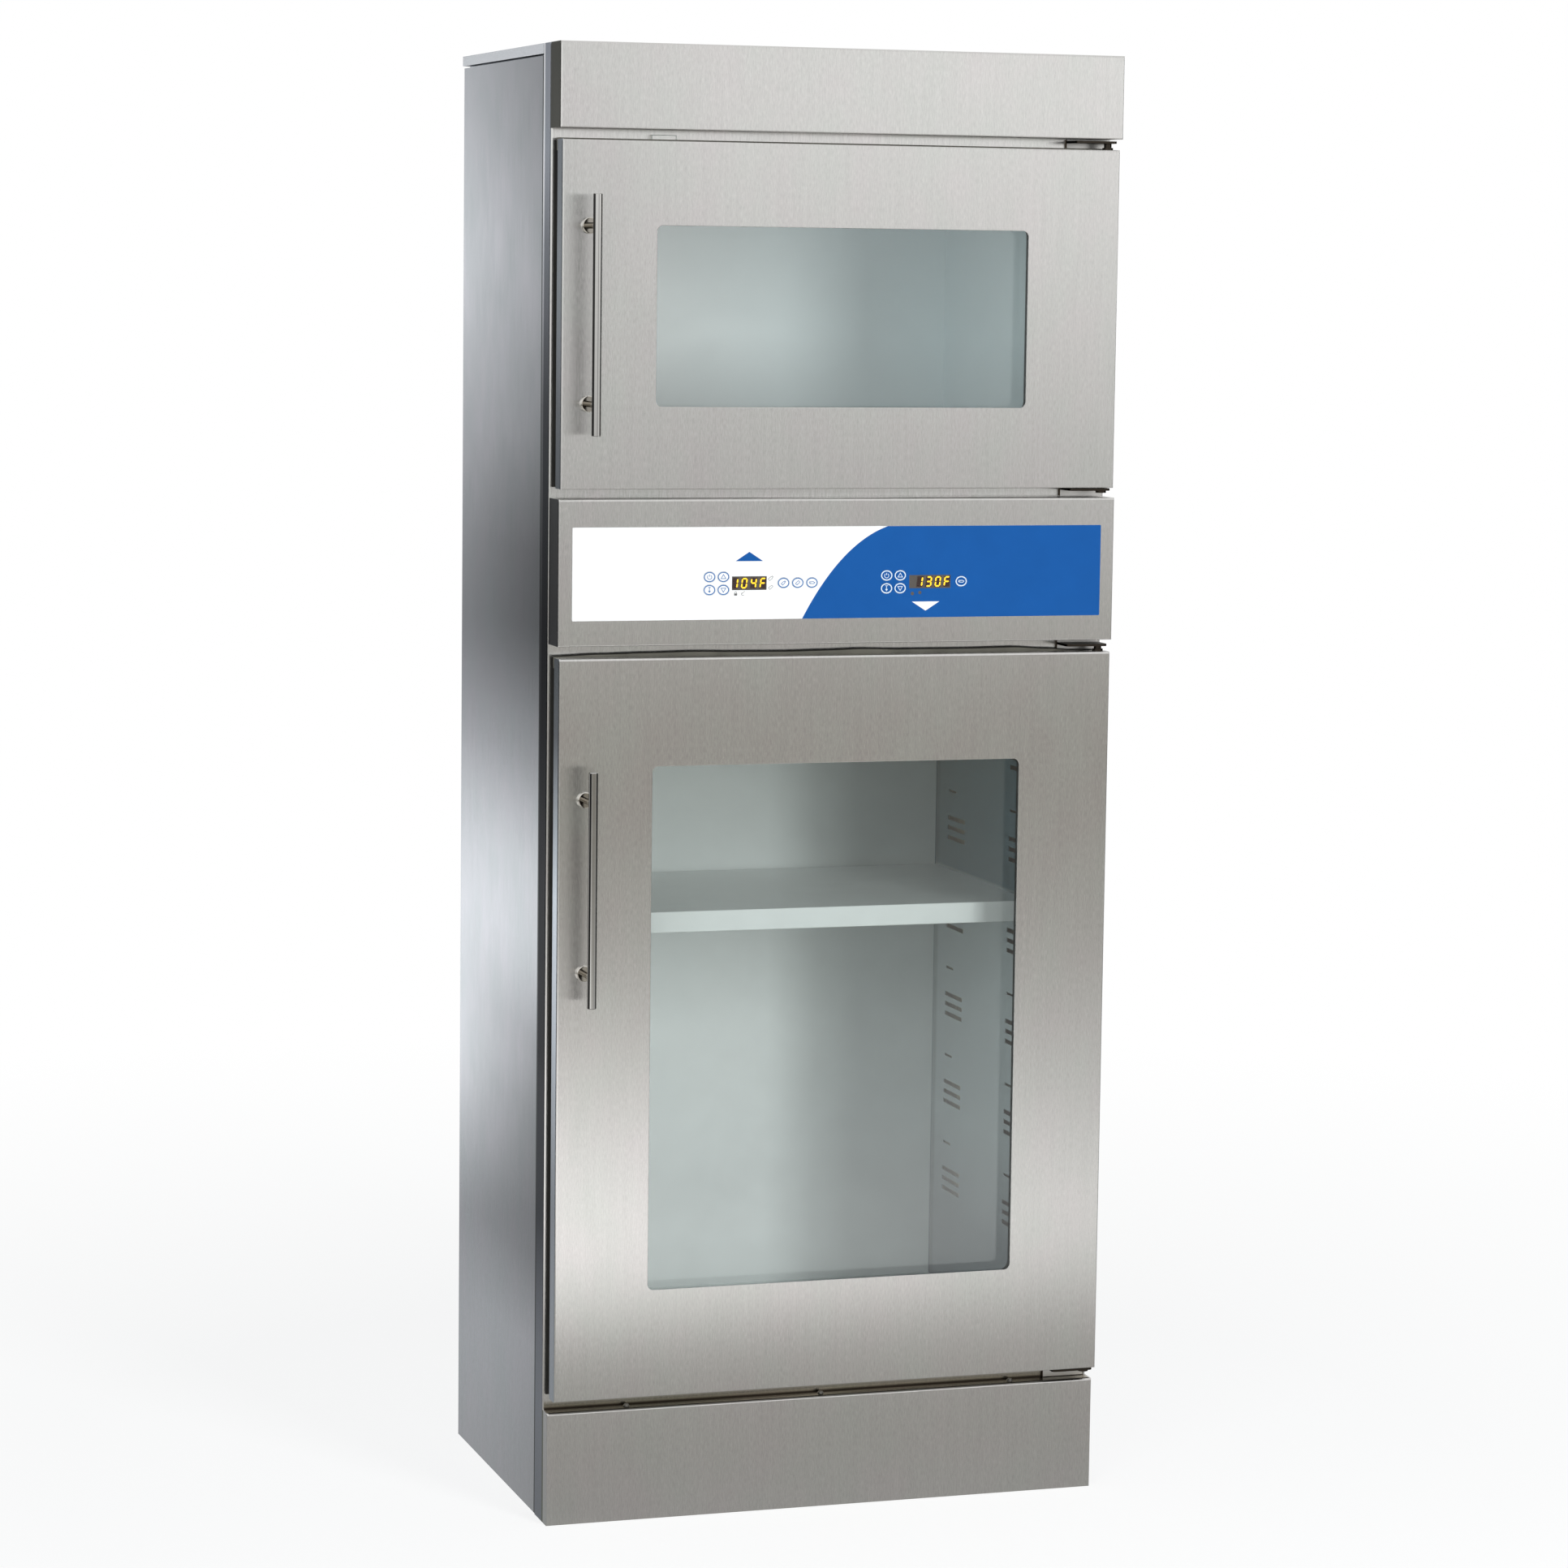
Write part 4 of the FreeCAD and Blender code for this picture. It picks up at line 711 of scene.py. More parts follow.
class CABINET_OT_fittings(bpy.types.Operator):
    """Finish the handles, the hinges, the sensor and the cord gland"""
    bl_idname = "cabinet.fittings"
    bl_label = "Handles and hinges"

    SENSOR_RIM = 0.7 * MM
    RIM_DEPTH = 0.1 * MM
    MARK_DEPTH = 0.15 * MM
    ROSETTE_HEIGHT = 5.0 * MM

    def sensor(self, steel):
        """A plate in the frame's own steel, in a thin dark green rim with a black mark at its foot."""
        coat("door_sensor", brushed_steel("sensor_steel", steel.case_colour, steel, axis="X"))
        low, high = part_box("door_sensor")
        r = self.SENSOR_RIM
        middle = (low.x + high.x) / 2
        edges = [rectangle(low.x, high.x, low.z, high.z),
                 rectangle(low.x + r, high.x - r, low.z + r, high.z - r)]
        mark = [rectangle(middle - 6 * MM, middle + 3 * MM, low.z + r, low.z + 2 * r)]
        for name, outlines, depth, colour in (("sensor_rim", edges, self.RIM_DEPTH, (0.20, 0.25, 0.22)),
                                              ("sensor_mark", mark, self.MARK_DEPTH, grey(0.02))):
            finish = moulded(name, colour, 0.5)
            plate(name, [outlines], low.y - depth, depth, "cabinet", finish)

    def handle(self, door):
        """A polished bar with painted shade on its back, on posts in a lighter copy of the steel whose
        rosettes carry painted shade inside a bright rim.
        """
        low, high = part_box(door + "_handle_bar")
        axis = (low.y + high.y) / 2
        coat(door + "_handle_bar", polished_steel(door + "_bar_steel", (0.46, 0.455, 0.44), 0.06, shades=[
            ("Y", axis - 2.4 * MM, axis - 0.6 * MM, (0.06, 0.05, 0.04))]))
        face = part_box(door + "_door_shell")[0].y - self.ROSETTE_HEIGHT
        coat(door + "_handle_posts", polished_steel(door + "_post_steel", (0.80, 0.78, 0.74), 0.10, shades=[
            ("Y", face + 0.5 * MM, face + 0.2 * MM, (0.52, 0.50, 0.47))]))

    def execute(self, context):
        for door in DOORS:
            self.handle(door)
        plated = cast_metal("hardware_steel", (0.21, 0.195, 0.17), 0.26)
        for node in HARDWARE:
            coat(node, plated)
        # Each hinge gets painted shade over its front and a painted shadow line at its left end.
        for node in HINGES:
            low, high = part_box(node)
            coat(node, polished_steel(node + "_steel", (0.62, 0.61, 0.59), 0.30, shades=[
                ("Y", high.y - 4.4 * MM, high.y - 5.0 * MM, (0.07, 0.06, 0.05)),
                ("X", low.x + 1.2 * MM, low.x + 0.8 * MM, (0.10, 0.08, 0.06))]))
        self.sensor(context.scene.cabinet_steel)
        coat("cord_gland", moulded("gland_black", (0.022, 0.022, 0.024), 0.5))
        return {"FINISHED"}


class CABINET_OT_mechanism(bpy.types.Operator):
    """Finish what sits behind the sheets: insulation, blowers, heaters and circuit board"""
    bl_idname = "cabinet.mechanism"
    bl_label = "Blowers, heaters and board"

    def execute(self, context):
        finishes = {"_insulation": wool_board("insulation"),
                    "_blower_motor": cast_metal("motor_paint", (0.035, 0.037, 0.04), 0.5, metallic=0.2),
                    "_blower_wheel": cast_metal("wheel_aluminium", (0.72, 0.73, 0.74), 0.38),
                    "_heater": cast_metal("heater_steel", (0.20, 0.17, 0.15), 0.55, metallic=0.9)}
        for chamber in DOORS:
            for node, finish in finishes.items():
                coat(chamber + node, finish)
        coat("control_board", moulded("board_green", (0.02, 0.14, 0.05), 0.4, contrast=0.2, grit_scale=300.0))
        return {"FINISHED"}


class CABINET_OT_gaskets(bpy.types.Operator):
    """Fit a folded rubber gasket round each door, with a loose lip over the door's edge"""
    bl_idname = "cabinet.gaskets"
    bl_label = "Door gaskets"

    # Across the strip from its outer edge, and from the door towards the frame, both as shares.
    PROFILE = ((0.04, 0.0), (0.0, 0.22), (0.16, 0.34), (0.0, 0.50), (0.0, 0.74), (0.0, 0.86), (0.22, 1.0),
               (0.78, 1.0), (0.94, 0.80), (1.0, 0.50), (0.84, 0.34), (1.0, 0.22), (0.96, 0.0))
    WIDTH = 18 * MM
    CORNER = 6 * MM
    RUN_STEPS = 48
    # A black rubber strip fills the gap on the handle side as painted shade; these are its sizes.
    SHADE_STRIP_REACH = 11.6 * MM       # how far a straight fin stands out on the handle side
    SHADE_STRIP_LAP = 2 * MM
    SHADE_STRIP_END = 1 * MM
    SHADE_STRIP_DEPTH = 1.5 * MM
    SHADE_STRIP_BACK = 3 * MM
    # The lower door's lip: share of its run, and how many millimetres it stands over the door's edge.
    LOWER_LIP = ((0.0, 0.7), (0.083, 2.8), (0.166, 3.9), (0.25, 4.9), (0.335, 3.9), (0.42, 3.4),
                 (0.50, 4.3), (0.555, 5.4), (0.63, 4.1), (0.755, 3.9), (0.84, 4.8), (0.907, 2.2),
                 (0.955, 0.0), (1.0, -0.6))
    LIP_STEPS = 160
    LIP_END = 2 * MM            # from the door's corner to the end of its lip
    WAVE = (0.7 * MM, 9.0, 1.0)     # a lip's wander from the door: how far, and its angle along the run
    BEAD_SIDES = 10

    def run(self, low, high):
        """Closed path round the door's gasket at its outer edge, with the outward directions."""
        r = self.CORNER
        centres = ((low.x + r, low.z + r), (high.x - r, low.z + r), (high.x - r, high.z - r),
                   (low.x + r, high.z - r))
        bends = []
        for index, centre in enumerate(centres):
            turns = (math.radians(180 + 90 * index + turn) for turn in (0, 30, 60, 90))
            outward = [Vector((math.cos(turn), math.sin(turn))) for turn in turns]
            bends.append([(Vector(centre) + out * r, out) for out in outward])
        path = []
        for bend, following in zip(bends, bends[1:] + bends[:1]):
            (start, out), (end, _) = bend[-1], following[0]
            shares = (step / self.RUN_STEPS for step in range(1, self.RUN_STEPS))
            path += bend + [(start.lerp(end, share), out) for share in shares]
        return path

    def ring(self, low, high):
        shape = bmesh.new()
        deep = high.y - low.y
        sections = []
        for edge, out in self.run(low, high):
            strip = ((edge - out * across * self.WIDTH, behind) for across, behind in self.PROFILE)
            sections.append([shape.verts.new((at.x, low.y + deep * behind, at.y)) for at, behind in strip])
        return skin(shape, sections, closed=True)

    def rise_at(self, share, stations):
        """Height of a lip at a share of its run, eased through its stations."""
        for (start, low), (end, high) in zip(stations, stations[1:]):
            if share <= end:
                t = (share - start) / (end - start)
                return low + (high - low) * t * t * (3 - 2 * t)
        return stations[-1][1]

    def lip(self, door, box, stations, seals):
        """A thin loose flap along the gasket's top run, and the bead along the flap's edge."""
        low, high = box
        shell_low, shell_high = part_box(door + "_door_shell")
        left, right = shell_low.x + self.LIP_END, shell_high.x - self.LIP_END
        front, root = low.y + 0.6 * MM, high.z - 2 * MM
        thick, bead = seals.lip_thickness, seals.bead_radius
        wander, turning, begin = self.WAVE
        flap, round_edge = bmesh.new(), bmesh.new()
        flaps, beads = [], []
        for step in range(self.LIP_STEPS + 1):
            share = step / self.LIP_STEPS
            x = left + (right - left) * share
            top = max(root + 0.5 * MM, shell_high.z + self.rise_at(share, stations) * MM)
            middle = front + wander * math.sin(turning * share + begin) + thick / 2
            flaps.append([flap.verts.new(point) for point in (
                (x, front, root), (x, middle - thick / 2, top), (x, middle + thick / 2, top),
                (x, front + thick, root))])
            turns = (math.tau * i / self.BEAD_SIDES for i in range(self.BEAD_SIDES))
            beads.append([round_edge.verts.new((x, middle + bead * math.cos(a), top + bead * math.sin(a)))
                          for a in turns])
        return skin(flap, flaps), skin(round_edge, beads)

    def execute(self, context):
        seals = context.scene.cabinet_seals
        rubber = moulded("gasket_rubber", (0.018, 0.017, 0.014), 0.55, contrast=0.25)
        # Grey-brown rubber for the lips; on the upper door its lip and bead are partly a painted shadow line
        # over the door's edge.
        brown_grey = moulded("gasket_lip", (0.155, 0.150, 0.125), 0.5, contrast=0.18)
        level = seals.upper_rise / MM
        lips = {"lower": (self.LOWER_LIP, rubber), "upper": (((0.0, level), (1.0, level)), brown_grey)}
        for door, (stations, edge) in lips.items():
            node, name, body = door + "_door_gasket", door + "_gasket", door + "_door"
            low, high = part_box(node)
            mesh = mesh_of(name, self.ring(low, high))
            mesh.shade_smooth()
            piece = place(name, mesh, body, rubber)
            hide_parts(node)
            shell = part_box(door + "_door_shell")
            # The black strip in the gap on the handle side, a painted shade.
            shade_strip = rectangle(low.x - self.SHADE_STRIP_REACH, low.x + self.SHADE_STRIP_LAP,
                            shell[0].z + self.SHADE_STRIP_END, shell[1].z - self.SHADE_STRIP_END)
            plate(name + "_shade_strip", [[shade_strip]], high.y - self.SHADE_STRIP_BACK, self.SHADE_STRIP_DEPTH, body,
                  rubber)
            flap, bead = self.lip(door, (low, high), stations, seals)
            for part, shape, finish in (("_lip", flap, brown_grey), ("_bead", bead, edge)):
                place(name + part, mesh_of(name + part, shape), body, finish)
        return {"FINISHED"}


def screw_tree():
    """Geometry Nodes: a pan head with a cross recess on every point, turned to the point's own direction."""
    slot_width, slot_depth, crown = 0.0011, 0.0016, 0.62
    tree = bpy.data.node_groups.new("pan_screws", "GeometryNodeTree")
    sockets = {"Geometry": "Geometry", "Head Radius": "Float", "Head Height": "Float", "Recess": "Float",
               "Sides": "Int", "Seed": "Int", "Finish": "Material"}
    for name, kind in sockets.items():
        tree.interface.new_socket(name, in_out="INPUT", socket_type="NodeSocket" + kind)
    tree.interface.new_socket("Geometry", in_out="OUTPUT", socket_type="NodeSocketGeometry")
    given = add(tree, "NodeGroupInput").outputs
    result = add(tree, "NodeGroupOutput")
    top = calc(tree, "MULTIPLY", given["Head Radius"], crown)
    head = add(tree, "GeometryNodeMeshCone", {
        "Vertices": given["Sides"], "Side Segments": 2, "Fill Segments": 1,
        "Radius Bottom": given["Head Radius"], "Radius Top": top, "Depth": given["Head Height"]},
        fill_type="NGON")
    cut = add(tree, "GeometryNodeMeshBoolean", {"Mesh 1": head.outputs["Mesh"]}, operation="DIFFERENCE")
    for along in "XY":
        size = add(tree, "ShaderNodeCombineXYZ", {
            "X": slot_width, "Y": slot_width, "Z": slot_depth, along: given["Recess"]})
        bar = add(tree, "GeometryNodeMeshCube", {"Size": size.outputs[0]})
        lift = add(tree, "ShaderNodeCombineXYZ", {"Z": given["Head Height"]})
        move = add(tree, "GeometryNodeTransform", {
            "Geometry": bar.outputs["Mesh"], "Translation": lift.outputs[0]})
        fill(tree, cut, {"Mesh 2": move.outputs["Geometry"]})
    direction = add(tree, "GeometryNodeInputNamedAttribute", {"Name": "outward"}, data_type="FLOAT_VECTOR")
    turn = add(tree, "FunctionNodeAlignRotationToVector", {
        "Vector": direction.outputs["Attribute"]}, axis="Z")
    spin = add(tree, "FunctionNodeRandomValue", {"Seed": given["Seed"]}, data_type="FLOAT")
    for socket, value in zip(of_type(spin.inputs, "VALUE"), (0.0, math.pi)):
        socket.default_value = value
    about = add(tree, "ShaderNodeCombineXYZ", {"Z": of_type(spin.outputs, "VALUE")[0]})
    own = add(tree, "FunctionNodeEulerToRotation", {"Euler": about.outputs[0]})
    both = add(tree, "FunctionNodeRotateRotation", {
        "Rotation": turn.outputs["Rotation"], "Rotate By": own.outputs["Rotation"]}, rotation_space="LOCAL")
    points = add(tree, "GeometryNodeMeshToPoints", {"Mesh": given["Geometry"]})
    copies = add(tree, "GeometryNodeInstanceOnPoints", {
        "Points": points.outputs["Points"], "Instance": cut.outputs["Mesh"],
        "Rotation": both.outputs["Rotation"]})
    real = add(tree, "GeometryNodeRealizeInstances", {"Geometry": copies.outputs["Instances"]})
    paint = add(tree, "GeometryNodeSetMaterial", {
        "Geometry": real.outputs["Geometry"], "Material": given["Finish"]})
    fill(tree, result, {"Geometry": paint.outputs["Geometry"]})
    return tree


def input_id(tree, name):
    """The identifier of a tree's input, by which a modifier takes its value."""
    return next(item.identifier for item in tree.interface.items_tree
                if item.item_type == "SOCKET" and item.in_out == "INPUT" and item.name == name)


class CABINET_OT_screws(bpy.types.Operator):
    """Set pan-head screws along the back panel's edges and on the kick panel"""
    bl_idname = "cabinet.screws"
    bl_label = "Screws"

    SEED = 7

    def seats(self):
        """The box round each of the CAD screws, in the order of the mesh, so that each keeps its spin."""
        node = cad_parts["panel_screws"]
        shape = bmesh.new()
        shape.from_mesh(node.data)
        bmesh.ops.remove_doubles(shape, verts=shape.verts, dist=1e-6)
        left = set(shape.verts)
        seats = []
        for first in shape.verts:
            if first not in left:
                continue
            left.remove(first)
            group, edge = set(), [first]
            while edge:
                vert = edge.pop()
                group.add(vert)
                near = {link.other_vert(vert) for link in vert.link_edges} & left
                left -= near
                edge += near
            seats.append([Vector([end(v.co[i] for v in group) for i in range(3)]) for end in (min, max)])
        shape.free()
        return seats

    def execute(self, context):
        screws = context.scene.cabinet_screws
        points, outward = [], []
        for low, high in self.seats():
            middle, size = (low + high) / 2, high - low
            way = Vector((0.0, 1.0, 0.0) if size.y > size.z else (0.0, 0.0, 1.0))
            points.append(middle + way * ((high - middle).dot(way) - screws.head_height))
            outward.append(way)
        mesh = bpy.data.meshes.new("screw_seats")
        mesh.from_pydata(points, [], [])
        attribute = mesh.attributes.new("outward", "FLOAT_VECTOR", "POINT")
        for item, value in zip(attribute.data, outward):
            item.vector = value
        holder = in_scene("screw_seats", mesh)
        tree = screw_tree()
        modifier = holder.modifiers.new("screws", "NODES")
        modifier.node_group = tree
        steel = cast_metal("screw_steel", (0.58, 0.56, 0.53), 0.30)
        values = {"Head Radius": screws.head_radius, "Head Height": screws.head_height,
                  "Recess": screws.recess, "Sides": screws.sides, "Seed": self.SEED, "Finish": steel}
        for name, value in values.items():
            modifier[input_id(tree, name)] = value
        finished = evaluated_mesh(holder, "panel_screw_heads")
        if not finished.polygons:
            raise RuntimeError("the screw tree made no faces")
        piece = place("panel_screw_heads", finished, "cabinet", None)
        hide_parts("panel_screws")
        return {"FINISHED"}


class CABINET_OT_overlay(bpy.types.Operator):
    """Print the control overlay: its blue field, the two pointers and the small status signs"""
    bl_idname = "cabinet.overlay"
    bl_label = "Control overlay"

    INK = 0.04 * MM
    FIELD_CORNER = 1.5 * MM
    CURVE_STEPS = 28
    CURVE_PULL = (0.052, -0.022)    # the bend's control point, from the field's foot and from the upper edge
    UPPER_POINTER = ((-0.1435, 1.2640), (-0.1065, 1.2640), (-0.1250, 1.2760))
    LOWER_POINTER = ((0.0980, 1.2094), (0.1360, 1.2094), (0.1170, 1.1974))
    LOCK_PLACE = (-0.1430, 1.2225)
    SPANNER_PLACE = (-0.1330, 1.2228)
    SMALL_SIGNS_X, BOTTLE_Z, BAG_Z = -0.0955, 1.2418, 1.2300
    STATUS_DOTS = ((0.0985, 1.2200, 2.3 * MM), (0.1087, 1.2212, 2.2 * MM))
    # Outlines of the two small signs, in millimetres.
    BOTTLE = ((-3.4, -1.5), (1.0, -1.5), (1.9, -0.8), (3.2, -0.8),
              (3.2, 0.8), (1.9, 0.8), (1.0, 1.5), (-3.4, 1.5))
    BAG = ((-2.8, -1.6), (2.4, -1.2), (3.0, 0.0), (2.4, 1.2), (-2.8, 1.6), (-3.2, 0.0))

    def boundary(self, prints, low, high):
        """The field's left edge, from the overlay's lower edge up: steep first, then bending over."""
        foot = Vector((prints.field_foot, low))
        head = Vector((prints.field_head, high))
        pull = Vector((prints.field_foot, high)) + Vector(self.CURVE_PULL)
        shares = [step / self.CURVE_STEPS for step in range(self.CURVE_STEPS + 1)]
        return [tuple(foot * (1 - t) ** 2 + pull * 2 * t * (1 - t) + head * t ** 2) for t in shares]

    def field(self, prints, low, high):
        """Outline of the blue field with holes for the lower display and its keys."""
        r = self.FIELD_CORNER
        right = arc(high.x - r, high.z - r, r, 90, 0, 6) + arc(high.x - r, low.z + r, r, 0, -90, 6)
        lens_low, lens_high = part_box("lower_display")
        shapes = [self.boundary(prints, low.z, high.z) + right,
                  rectangle(lens_low.x, lens_high.x, lens_low.z, lens_high.z)]
        for key in LOWER_KEYS:
            key_low, key_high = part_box("lower_" + key + "_key")
            shapes.append(oval((key_low + key_high) / 2, (key_high - key_low) / 2, 0.3 * MM))
        return shapes

    def lock(self, x, z):
        body = rectangle(x - 2.0 * MM, x + 2.0 * MM, z - 2.9 * MM, z)
        return [[body], stroke(arc(x, z + 0.2 * MM, 1.4 * MM, 180, 0, 9, 1.4), 0.6 * MM)]

    def spanner(self, x, z):
        handle = [(x - 2.2 * MM, z - 1.2 * MM), (x + 0.6 * MM, z + 0.8 * MM), (x + 2.2 * MM, z + 2.6 * MM)]
        jaw = arc(x - 0.2 * MM, z - 1.2 * MM, 1.9 * MM, 120, 320, 10)
        return [stroke(handle, 0.55 * MM), stroke(jaw, 0.55 * MM)]

    def execute(self, context):
        prints = context.scene.cabinet_print
        coat("control_overlay", ink("overlay_film", prints.film_colour, 0.32, 0.012))
        blue = ink("field_ink", prints.field_colour, 0.5, sheen=0.1)
        white = ink("white_ink", (0.93, 0.935, 0.94), 0.34, 0.01)
        dark = ink("grey_ink", grey(0.12), 0.4, 0.05)
        dim = ink("lens_window", (0.085, 0.080, 0.075), 0.3, 0.1)
        low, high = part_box("control_overlay")
        front = low.y - self.INK
        signs = self.lock(*self.LOCK_PLACE) + self.spanner(*self.SPANNER_PLACE)
        for shape, z in ((self.BOTTLE, self.BOTTLE_Z), (self.BAG, self.BAG_Z)):
            signs.append(stroke(tilted(shape, self.SMALL_SIGNS_X, z, 40), 0.5 * MM, closed=True))
        dots = [[loop(*dot, 20)] for dot in self.STATUS_DOTS]
        for name, groups, plane, finish in (
                ("overlay_field", [self.field(prints, low, high)], front, blue),
                ("upper_pointer", [[self.UPPER_POINTER]], front, blue),
                ("lower_pointer", [[self.LOWER_POINTER]], front - self.INK, white),
                ("status_signs", signs, front, dark),
                ("status_windows", dots, front - self.INK, dim)):
            plate(name, groups, plane, self.INK, "cabinet", finish)
        return {"FINISHED"}


class CABINET_OT_keys(bpy.types.Operator):
    """Colour the keys and print a ring and a sign on each"""
    bl_idname = "cabinet.keys"
    bl_label = "Keys"

    INK = 0.05 * MM
    RING_INSET = 0.25 * MM
    # Outlines of two signs, in millimetres.
    BOTTLE = ((-3.0, -1.3), (0.9, -1.3), (1.7, -0.7), (2.9, -0.7),
              (2.9, 0.7), (1.7, 0.7), (0.9, 1.3), (-3.0, 1.3))
    BAG = ((-2.6, -1.4), (2.2, -1.5), (2.9, 0.0), (2.2, 1.5), (-2.6, 1.4), (-3.0, 0.0))

    def sign(self, kind, x, z, width):
        """The lines of a key's sign, as groups of outlines round a centre."""
        u = MM
        if kind == "power":
            return [stroke(arc(x, z - 0.3 * u, 2.9 * u, 125, 415, 22), width),
                    stroke([(x, z + 0.4 * u), (x, z + 3.4 * u)], width)]
        if kind in ("raise", "lower"):
            way = u if kind == "raise" else -u
            corners = [(x - 3.2 * u, z - 2.2 * way), (x + 3.2 * u, z - 2.2 * way), (x, z + 3.0 * way)]
            return [stroke(corners, width, closed=True)]
        if kind == "set":
            return [stroke([(x, z + 3.6 * u), (x, z - 1.0 * u)], width * 1.1),
                    [[(x - 1.9 * u, z - 0.9 * u), (x + 1.9 * u, z - 0.9 * u), (x, z - 3.8 * u)]],
                    stroke([(x - 1.7 * u, z + 3.4 * u), (x + 1.7 * u, z + 3.4 * u)], width)]
        if kind == "blanket":
            fold = arc(x - 2.6 * u, z + 0.1 * u, 1.1 * u, 0, 330, 12)
            sheet = [(x - 2.6 * u, z - 1.2 * u), (x + 2.4 * u, z - 1.4 * u), (x + 3.9 * u, z + 0.2 * u),
                     (x + 1.8 * u, z + 1.2 * u), (x - 1.4 * u, z + 1.2 * u)]
            return [stroke(fold, width), stroke(sheet, width)]
        return [stroke(tilted(self.BOTTLE if kind == "bottle" else self.BAG, x, z, 42), width, closed=True)]

    def execute(self, context):
        prints = context.scene.cabinet_print
        white = ink("upper_keys", prints.film_colour, 0.36, 0.012)
        blue = ink("lower_keys", scaled(prints.field_colour, 0.95), 0.5, sheen=0.1)
        blue_line = ink("ring_ink", prints.ring_colour, 0.5, sheen=0.1)
        white_line = ink("pale_ink", (0.72, 0.82, 0.93), 0.4, 0.01)
        for chamber, keys, face, line in (("upper", UPPER_KEYS, white, blue_line),
                                          ("lower", LOWER_KEYS, blue, white_line)):
            for key in keys:
                node = chamber + "_" + key + "_key"
                coat(node, face)
                low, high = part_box(node)
                centre, half = (low + high) / 2, (high - low) / 2
                ring = [oval(centre, half, -inset)
                        for inset in (self.RING_INSET, self.RING_INSET + prints.ring_stroke)]
                groups = [ring] + self.sign(key, centre.x, centre.z, prints.sign_stroke)
                plate(chamber + "_" + key + "_sign", groups, low.y - self.INK, self.INK, node,
                      line)
        return {"FINISHED"}


class CABINET_OT_displays(bpy.types.Operator):
    """Light the two displays with slanted seven-segment figures behind smoked lenses"""
    bl_idname = "cabinet.displays"
    bl_label = "Displays"

    # Lit segments of each figure: a top, b and c right, d bottom, e and f left, g middle.
    FIGURES = {"0": "abcdef", "1": "bc", "3": "abcdg", "4": "bcfg", "F": "aefg"}
    # Where each segment starts and ends, in half widths and half heights.
    ENDS = {"a": ((-1, 1), (1, 1)), "b": ((1, 1), (1, 0)), "c": ((1, 0), (1, -1)), "d": ((-1, -1), (1, -1)),
            "e": ((-1, 0), (-1, -1)), "f": ((-1, 1), (-1, 0)), "g": ((-1, 0), (1, 0))}
    READINGS = {"upper": "104F", "lower": "130F"}
    LINE = 1.9 * MM
    GAP = 0.25 * MM
    INK = 0.03 * MM
    WELL_MARGIN = 0.2 * MM
    END_MARGIN = 4.9 * MM       # lens's right edge to the last figure's middle

    def segment(self, letter, x, z, prints):
        """Outline of one segment of the figure round a centre."""
        w, h = prints.digit_width / 2 - self.LINE / 2, prints.digit_height / 2 - self.LINE / 2
        start, end = (Vector((a * w, b * h)) for a, b in self.ENDS[letter])
        along = (end - start).normalized()
        side = Vector((-along.y, along.x)) * self.LINE / 2
        start, end = start + along * self.GAP, end - along * self.GAP
        tip = along * self.LINE / 2
        points = (start, start + tip + side, end - tip + side, end, end - tip - side, start + tip - side)
        return [(x + p.x + p.y * prints.digit_slant, z + p.y) for p in points]

    def well(self, x, z, prints, low, high):
        """Slanted dark cell behind a figure, kept inside the lens."""
        w, h = prints.digit_width / 2 + self.WELL_MARGIN, prints.digit_height / 2 + self.WELL_MARGIN
        lean = h * prints.digit_slant
        edges = ((x - w - lean, z - h), (x + w - lean, z - h), (x + w + lean, z + h), (x - w + lean, z + h))
        return [(min(max(a, low), high), b) for a, b in edges]

    def execute(self, context):
        prints = context.scene.cabinet_print
        smoked = moulded("display_lens", (0.085, 0.075, 0.066), 0.18, contrast=0.06, depth=0.00001)
        dark = moulded("figure_well", (0.030, 0.014, 0.012), 0.30, contrast=0.1, depth=0.00001)
        amber = lit_segments("lit_amber", prints.digit_colour)
        for chamber, reading in self.READINGS.items():
            node = chamber + "_display"
            coat(node, smoked)
            low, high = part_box(node)
            z = (low.z + high.z) / 2
            lit, wells = [], []
            for index, figure in enumerate(reversed(reading)):
                x = high.x - self.END_MARGIN - index * prints.digit_pitch
                lit += [[self.segment(letter, x, z, prints)] for letter in self.FIGURES[figure]]
                wells.append([self.well(x, z, prints, low.x, high.x)])
            for name, groups, layer, finish in (("_figure_wells", wells, 1, dark),
                                                ("_figures", lit, 2, amber)):
                plate(chamber + name, groups, low.y - layer * self.INK, self.INK, "cabinet",
                      finish)
        return {"FINISHED"}


